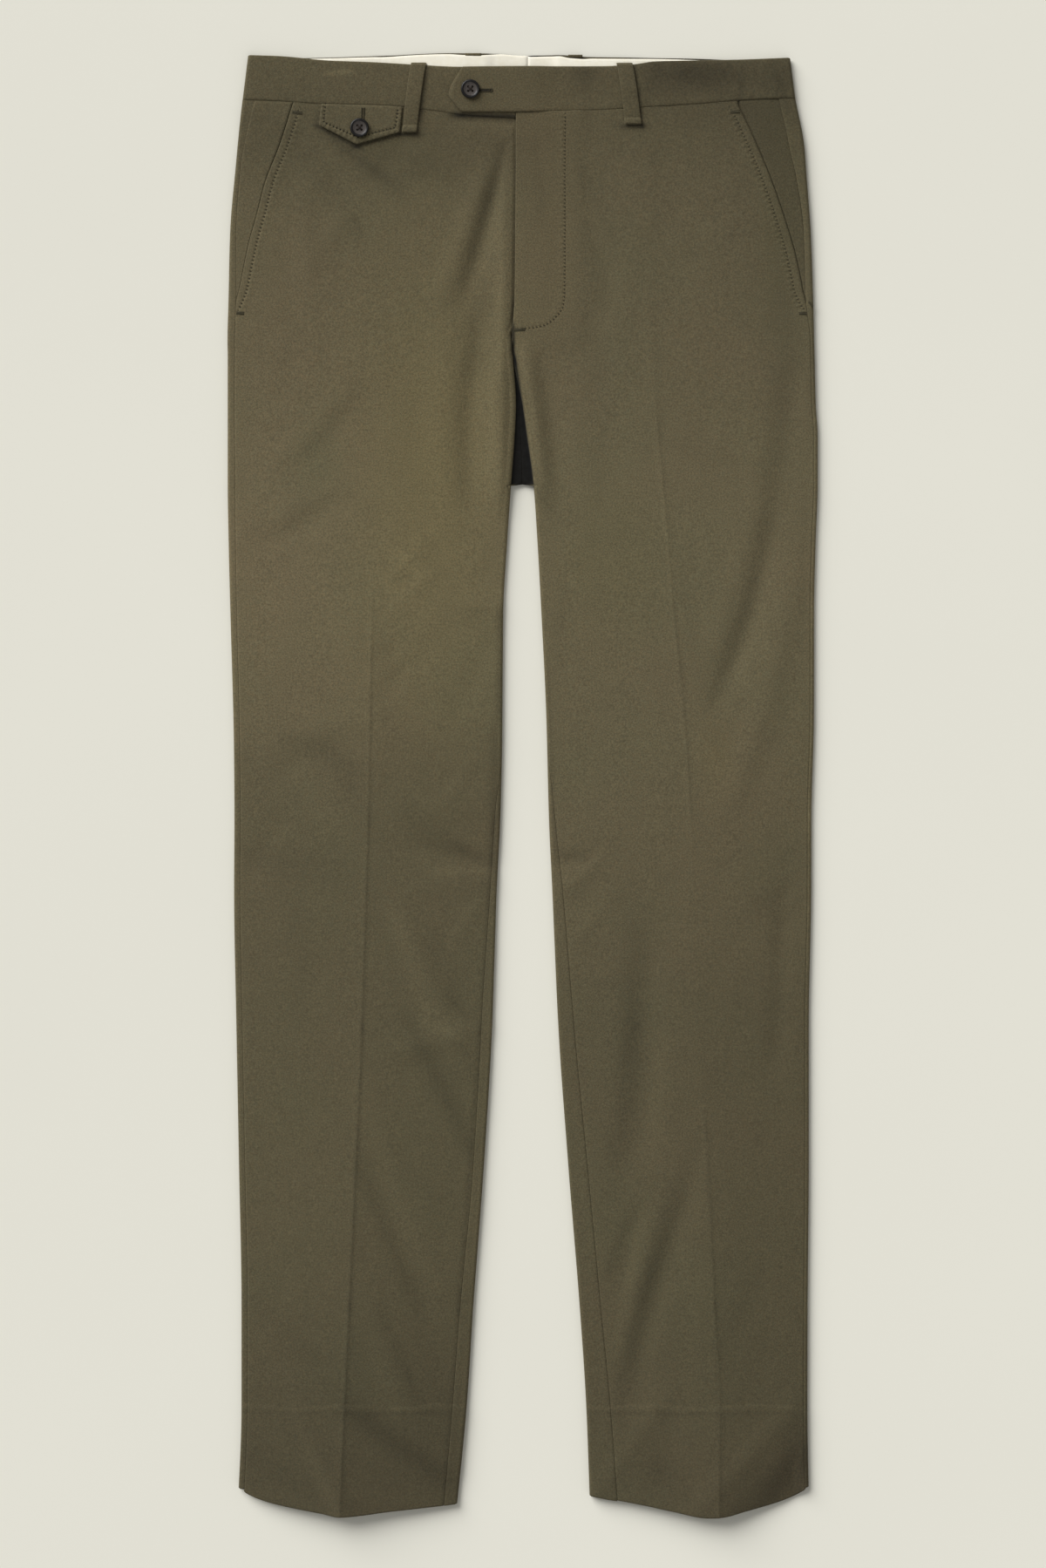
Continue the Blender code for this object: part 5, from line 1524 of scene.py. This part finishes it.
def noise(tree, place, scale, detail=3.0, stretch=(1.0, 1.0, 1.0)):
    """A noise value from 0 to 1; scale is in waves a metre."""
    mapped = add_node(tree, "ShaderNodeMapping", {"Vector": place, "Scale": stretch}).outputs[0]
    inputs = {"Vector": mapped, "Scale": scale, "Detail": detail}
    return add_node(tree, "ShaderNodeTexNoise", inputs).outputs[0]


def remap(tree, value, low, high, from_low=0.3, from_high=0.7):
    """A value stretched from one range to another."""
    inputs = {0: value, 1: from_low, 2: from_high, 3: low, 4: high}
    return add_node(tree, "ShaderNodeMapRange", inputs).outputs[0]


def math_of(tree, kind, one, *others):
    """Values joined one after the other by one kind of sum."""
    for other in others:
        one = add_node(tree, "ShaderNodeMath", {0: one, 1: other}, operation=kind).outputs[0]
    return one


def opaque(colour, factor=1.0):
    """A colour with full alpha, darkened by a factor."""
    return (*(factor * value for value in colour), 1.0)


def add_bump(tree, shader, height, strength, distance):
    """Bump on the shader from a height."""
    bump = add_node(tree, "ShaderNodeBump", {"Height": height, "Strength": strength, "Distance": distance})
    tree.links.new(bump.outputs[0], shader.inputs["Normal"])


def mix_colours(tree, factor, one, other, kind="MIX"):
    """Two colours mixed by a factor."""
    inputs = {0: factor, 6: one, 7: other}
    return add_node(tree, "ShaderNodeMix", inputs, data_type="RGBA", blend_type=kind).outputs[2]


def bands(tree, place, direction, period, distortion=0.0):
    """Even stripes from 0 to 1 at a period in metres."""
    waves = math.pi / 10 / period
    inputs = {"Vector": place, "Scale": waves, "Distortion": distortion, "Detail": 1.0, "Detail Scale": 0.6}
    return add_node(tree, "ShaderNodeTexWave", inputs, bands_direction=direction).outputs[1]


def weave_height(tree, place, thread):
    """Height of a fine twill: crossing threads with a slant rib, roughened by loose fibres."""
    warp = bands(tree, place, "X", thread, 0.6)
    weft = bands(tree, place, "Y", thread * 1.15, 0.6)
    ribs = bands(tree, place, "DIAGONAL", thread * 1.3, 0.8)
    height = math_of(tree, "MULTIPLY", warp, weft)
    height = math_of(tree, "ADD", height, math_of(tree, "MULTIPLY", ribs, 0.6))
    fibres = noise(tree, place, 2600.0, 2.0)
    return math_of(tree, "ADD", height, math_of(tree, "MULTIPLY", fibres, 0.9))


def pinch_height(tree):
    """Height of the pinch along stitched lines, and the painted shade of its needle holes, with lighter
    specks between them.
    """
    sewn = add_node(tree, "ShaderNodeAttribute", attribute_name="sewn")
    parts = add_node(tree, "ShaderNodeSeparateColor", {0: sewn.outputs["Color"]})
    along, beside = parts.outputs[0], parts.outputs[1]

    def bell(middle, width):
        away = math_of(tree, "DIVIDE", math_of(tree, "SUBTRACT", beside, middle), width)
        return math_of(tree, "EXPONENT", math_of(tree, "MULTIPLY", away, away, -1.0), 0.0)

    def beat(pitch, shift):
        turn = math_of(tree, "ADD", math_of(tree, "MULTIPLY", along, 2 * math.pi / pitch), shift)
        return math_of(tree, "ADD", math_of(tree, "MULTIPLY", math_of(tree, "COSINE", turn, 0.0), 0.5), 0.5)

    holes = math_of(tree, "POWER", beat(STITCH_PITCH, math.pi), 3.0)
    hole_shade_and_specks = math_of(tree, "MULTIPLY", bell(0.0, 0.55), holes)
    depth = math_of(tree, "ADD", math_of(tree, "MULTIPLY", holes, -1.6), -0.4)
    groove = math_of(tree, "MULTIPLY", bell(0.0, 1.1), depth)
    ladder = math_of(tree, "MULTIPLY", bell(2.6, 2.2), beat(1.62 * STITCH_PITCH, 0.4), 0.9)
    height = math_of(tree, "MULTIPLY", math_of(tree, "ADD", groove, ladder), parts.outputs[2])
    specks = math_of(tree, "POWER", beat(STITCH_PITCH, 0.0), 2.0)
    specks = math_of(tree, "MULTIPLY", bell(0.4, 0.7), specks, 0.22)
    hole_shade_and_specks = math_of(tree, "SUBTRACT", math_of(tree, "MULTIPLY", hole_shade_and_specks, 0.6), specks)
    return height, math_of(tree, "MULTIPLY", hole_shade_and_specks, parts.outputs[2])


def cloth_material(name, toned=True):
    """Olive wool twill: mottled threads, faint brown and green drifts, a soft nap, and the painted light and
    shade carried in the cloth's colour attribute and at the needle holes.
    """
    made, tree, shader, place = new_material(name, OLIVE, 0.86)
    drift = remap(tree, noise(tree, place, 9.0, 1.0), 0.2, 0.8, 0.3, 0.7)
    if toned:
        tone_and_painted_light = add_node(tree, "ShaderNodeAttribute", attribute_name="tone_and_painted_light")
        parts = add_node(tree, "ShaderNodeSeparateColor", {0: tone_and_painted_light.outputs["Color"]})
        drift = math_of(tree, "ADD", drift, math_of(tree, "SUBTRACT", parts.outputs[1], 0.5))
    colour = mix_colours(tree, drift, opaque(OLIVE_GREEN), opaque(OLIVE_BROWN))
    if toned:
        colour = mix_colours(tree, parts.outputs[2], colour, opaque(OLIVE_YELLOW))
    heather = remap(tree, noise(tree, place, 620.0, 2.0), 0.0, 1.0, 0.35, 0.65)
    specks = mix_colours(tree, heather, (1.03, 0.99, 0.97, 1.0), (0.97, 1.01, 1.03, 1.0))
    grains = remap(tree, noise(tree, place, 800.0, 3.0), 0.74, 1.26)
    slubs = remap(tree, noise(tree, place, 700.0, 2.0, (1.0, 0.3, 1.0)), 0.96, 1.04)
    cross = remap(tree, noise(tree, place, 700.0, 2.0, (0.3, 1.0, 1.0)), 0.96, 1.04)
    clouds = remap(tree, noise(tree, place, 60.0, 2.0), 0.975, 1.025)
    weave = weave_height(tree, place, 0.00055)
    # Grain, slubs and clouds are the threads' own tone; the weave's low parts are painted darker as painted
    # shade in its grooves.
    shade = math_of(tree, "MULTIPLY", grains, slubs, cross, clouds, remap(tree, weave, 0.90, 1.08, 0.2, 1.8))
    wavy = math_of(tree, "MULTIPLY", noise(tree, place, 160.0, 3.0), 1.6)
    height = math_of(tree, "ADD", weave, wavy)
    if toned:
        shade = math_of(tree, "MULTIPLY", shade, parts.outputs[0])
        pinch, hole_shade_and_specks = pinch_height(tree)
        height = math_of(tree, "ADD", height, math_of(tree, "MULTIPLY", pinch, 2.0))
        shade = math_of(tree, "MULTIPLY", shade, math_of(tree, "SUBTRACT", 1.0, hole_shade_and_specks))
    grey = add_node(tree, "ShaderNodeCombineColor", {0: shade, 1: shade, 2: shade}).outputs[0]
    colour = mix_colours(tree, 1.0, colour, specks, "MULTIPLY")
    tree.links.new(mix_colours(tree, 1.0, colour, grey, "MULTIPLY"), shader.inputs["Base Color"])
    rough = remap(tree, noise(tree, place, 300.0, 2.0), 0.80, 0.92)
    tree.links.new(rough, shader.inputs["Roughness"])
    add_bump(tree, shader, height, 0.6, 0.0002)
    shader.inputs["Sheen Weight"].default_value = 0.12
    shader.inputs["Sheen Roughness"].default_value = 0.45
    shader.inputs["Sheen Tint"].default_value = (0.75, 0.68, 0.45, 1.0)
    shader.inputs["Specular IOR Level"].default_value = 0.25
    return made


def lining_material():
    """Cream cotton in a plain weave."""
    made, tree, shader, place = new_material("cream_cotton", CREAM, 0.8)
    mottle = remap(tree, noise(tree, place, 240.0, 3.0), 0.0, 1.0)
    darker = (CREAM[0] * 0.95, CREAM[1] * 0.94, CREAM[2] * 0.9, 1.0)
    colour = mix_colours(tree, mottle, darker, opaque(CREAM))
    tree.links.new(colour, shader.inputs["Base Color"])
    warp = bands(tree, place, "X", 0.0005, 0.3)
    weft = bands(tree, place, "Y", 0.0005, 0.3)
    height = math_of(tree, "ADD", math_of(tree, "MULTIPLY", warp, weft), noise(tree, place, 500.0))
    add_bump(tree, shader, height, 0.4, 0.00015)
    shader.inputs["Sheen Weight"].default_value = 0.05
    return made


def button_material(name, place_mm):
    """Polished dark horn with faint swirls: a black rim round a paler worn dish."""
    made, tree, shader, place = new_material(name, BUTTON_BROWN, 0.28)
    middle = (-place_mm[0] * MM, -place_mm[1] * MM, 0.0)
    centred = add_node(tree, "ShaderNodeVectorMath", {0: place, 1: middle}, operation="ADD").outputs[0]
    inputs = {0: centred, 1: (1.0, 1.0, 0.0)}
    flat = add_node(tree, "ShaderNodeVectorMath", inputs, operation="MULTIPLY").outputs[0]
    away = add_node(tree, "ShaderNodeVectorMath", {0: flat}, operation="LENGTH").outputs[1]
    dish = remap(tree, away, 1.0, 0.0, 0.66 * BUTTON_RADIUS * MM, 0.76 * BUTTON_RADIUS * MM)
    swirl = remap(tree, noise(tree, place, 330.0, 4.0, (1.0, 0.35, 1.0)), 0.0, 1.0, 0.4, 0.62)
    worn = mix_colours(tree, swirl, opaque(BUTTON_DISH), opaque(BUTTON_DISH, 0.7))
    tree.links.new(mix_colours(tree, dish, opaque(BUTTON_BROWN), worn), shader.inputs["Base Color"])
    rough = remap(tree, noise(tree, place, 700.0, 2.0), 0.3, 0.45)
    tree.links.new(rough, shader.inputs["Roughness"])
    scratches = noise(tree, place, 1800.0, 2.0)
    add_bump(tree, shader, scratches, 0.12, 0.0001)
    shader.inputs["Specular IOR Level"].default_value = 0.3
    return made


def thread_material(name, colour):
    """Twisted sewing thread."""
    made, tree, shader, place = new_material(name, colour, 0.6)
    twist = bands(tree, place, "DIAGONAL", 0.0004, 0.5)
    # The low grooves of the twist are painted darker: painted shade beside its bump.
    twist_shade = mix_colours(tree, twist, opaque(colour, 0.75), opaque(colour))
    tree.links.new(twist_shade, shader.inputs["Base Color"])
    add_bump(tree, shader, twist, 0.5, 0.00008)
    shader.inputs["Specular IOR Level"].default_value = 0.2
    return made


def brass_material():
    """Brushed zip brass."""
    made, tree, shader, place = new_material("zip_brass_worn", ZIP_BRASS, 0.35)
    shader.inputs["Metallic"].default_value = 1.0
    rough = remap(tree, noise(tree, place, 500.0, 3.0), 0.25, 0.5)
    tree.links.new(rough, shader.inputs["Roughness"])
    # Bands across the zip painted at half brightness between the teeth: painted shade in the gaps.
    teeth_gap_shade = bands(tree, place, "Y", 0.0015)
    colour = mix_colours(tree, teeth_gap_shade, opaque(ZIP_BRASS, 0.5), opaque(ZIP_BRASS))
    tree.links.new(colour, shader.inputs["Base Color"])
    return made


def floor_material():
    """Plain pale paper-like backdrop."""
    made, tree, shader, place = new_material("pale_floor", FLOOR_COLOUR, 0.9)
    cloud = remap(tree, noise(tree, place, 3.0, 2.0), 0.0, 1.0)
    colour = mix_colours(tree, cloud, opaque(FLOOR_COLOUR, 0.985), opaque(FLOOR_COLOUR))
    tree.links.new(colour, shader.inputs["Base Color"])
    shader.inputs["Specular IOR Level"].default_value = 0.1
    return made


def make_floor(finish):
    """A pale floor well beyond the camera's view, with a slight swell at its far rim."""
    body = bmesh.new()
    bmesh.ops.create_grid(body, x_segments=24, y_segments=24, size=3.0)
    for vertex in body.verts:
        far = max(0.0, math.hypot(vertex.co.x, vertex.co.y) - 2.0)
        vertex.co.z = -0.0002 + 0.05 * far * far
    mesh = bpy.data.meshes.new("floor")
    body.to_mesh(mesh)
    body.free()
    mesh.shade_smooth()
    mesh.materials.append(finish)
    floor = bpy.data.objects.new("floor", mesh)
    bpy.context.scene.collection.objects.link(floor)


def make_light_and_camera():
    """Soft suns from the upper left and against it, an even sky, and a camera straight above."""
    scene = bpy.context.scene
    for name, light_from, strength, angle in SUNS:
        light = bpy.data.objects.new(name, bpy.data.lights.new(name, "SUN"))
        light.data.energy, light.data.angle = strength, angle
        light.rotation_euler = Vector(light_from).to_track_quat("Z", "Y").to_euler()
        scene.collection.objects.link(light)
    world = bpy.data.worlds.new("soft_sky")
    world.use_nodes = True
    world.node_tree.nodes["Background"].inputs[0].default_value = (1.0, 1.0, 1.0, 1.0)
    world.node_tree.nodes["Background"].inputs[1].default_value = SKY_STRENGTH
    scene.world = world
    camera = bpy.data.objects.new("camera", bpy.data.cameras.new("camera"))
    camera.data.sensor_fit = "VERTICAL"
    camera.data.sensor_height = SENSOR
    camera.data.lens = SENSOR * (CAMERA_PLACE[2] - FOCUS_HEIGHT) / PHOTO_HEIGHT
    camera.data.clip_end = 20.0
    camera.location = [value * MM for value in CAMERA_PLACE]
    scene.collection.objects.link(camera)
    scene.camera = camera
    scene.view_settings.view_transform = "Standard"


def main():
    """Builds the whole scene."""
    olive = cloth_material("olive_twill")
    hidden_olive = cloth_material("olive_twill_underlap", toned=False)
    cream = lining_material()
    thread = thread_material("olive_thread", (0.075, 0.065, 0.036))
    dark_olive = thread_material("dark_olive_thread", (0.050, 0.042, 0.022))
    brown_thread = thread_material("brown_thread", (0.022, 0.014, 0.010))
    # Near-black material of the buttonhole's slit: painted shade.
    dark_thread_and_shade = thread_material("dark_slit_shade", (0.012, 0.010, 0.008))
    for side in SIDES:
        make_panels(side, olive)
        make_facing(side, olive)
        make_waistband(side, olive)
        make_waistband_lining(side, cream)
        make_front_loop(side, olive)
        make_back_loop(side, olive)
    make_ticket_flap(olive)
    make_sewing(thread, dark_olive)
    make_flap_sewing(dark_olive)
    make_buttonhole(dark_olive, dark_thread_and_shade)
    flap_height = float(top_height("right", -FLAP_BUTTON[0], FLAP_BUTTON[1]))
    flap_seat = flap_height + CLOTH + 2 * GAP + FLAP_LIFT * 0.6
    make_button("button_flap_horn", "button_flap", FLAP_BUTTON, flap_seat, brown_thread)
    make_button("button_waist_horn", "button_waist", WAIST_BUTTON, TAB_TOP + GAP, brown_thread)
    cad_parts["fly_underlap"].data.materials.clear()
    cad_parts["fly_underlap"].data.materials.append(hidden_olive)
    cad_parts["fly_zip"].data.materials.clear()
    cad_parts["fly_zip"].data.materials.append(brass_material())
    make_floor(floor_material())
    make_light_and_camera()


main()
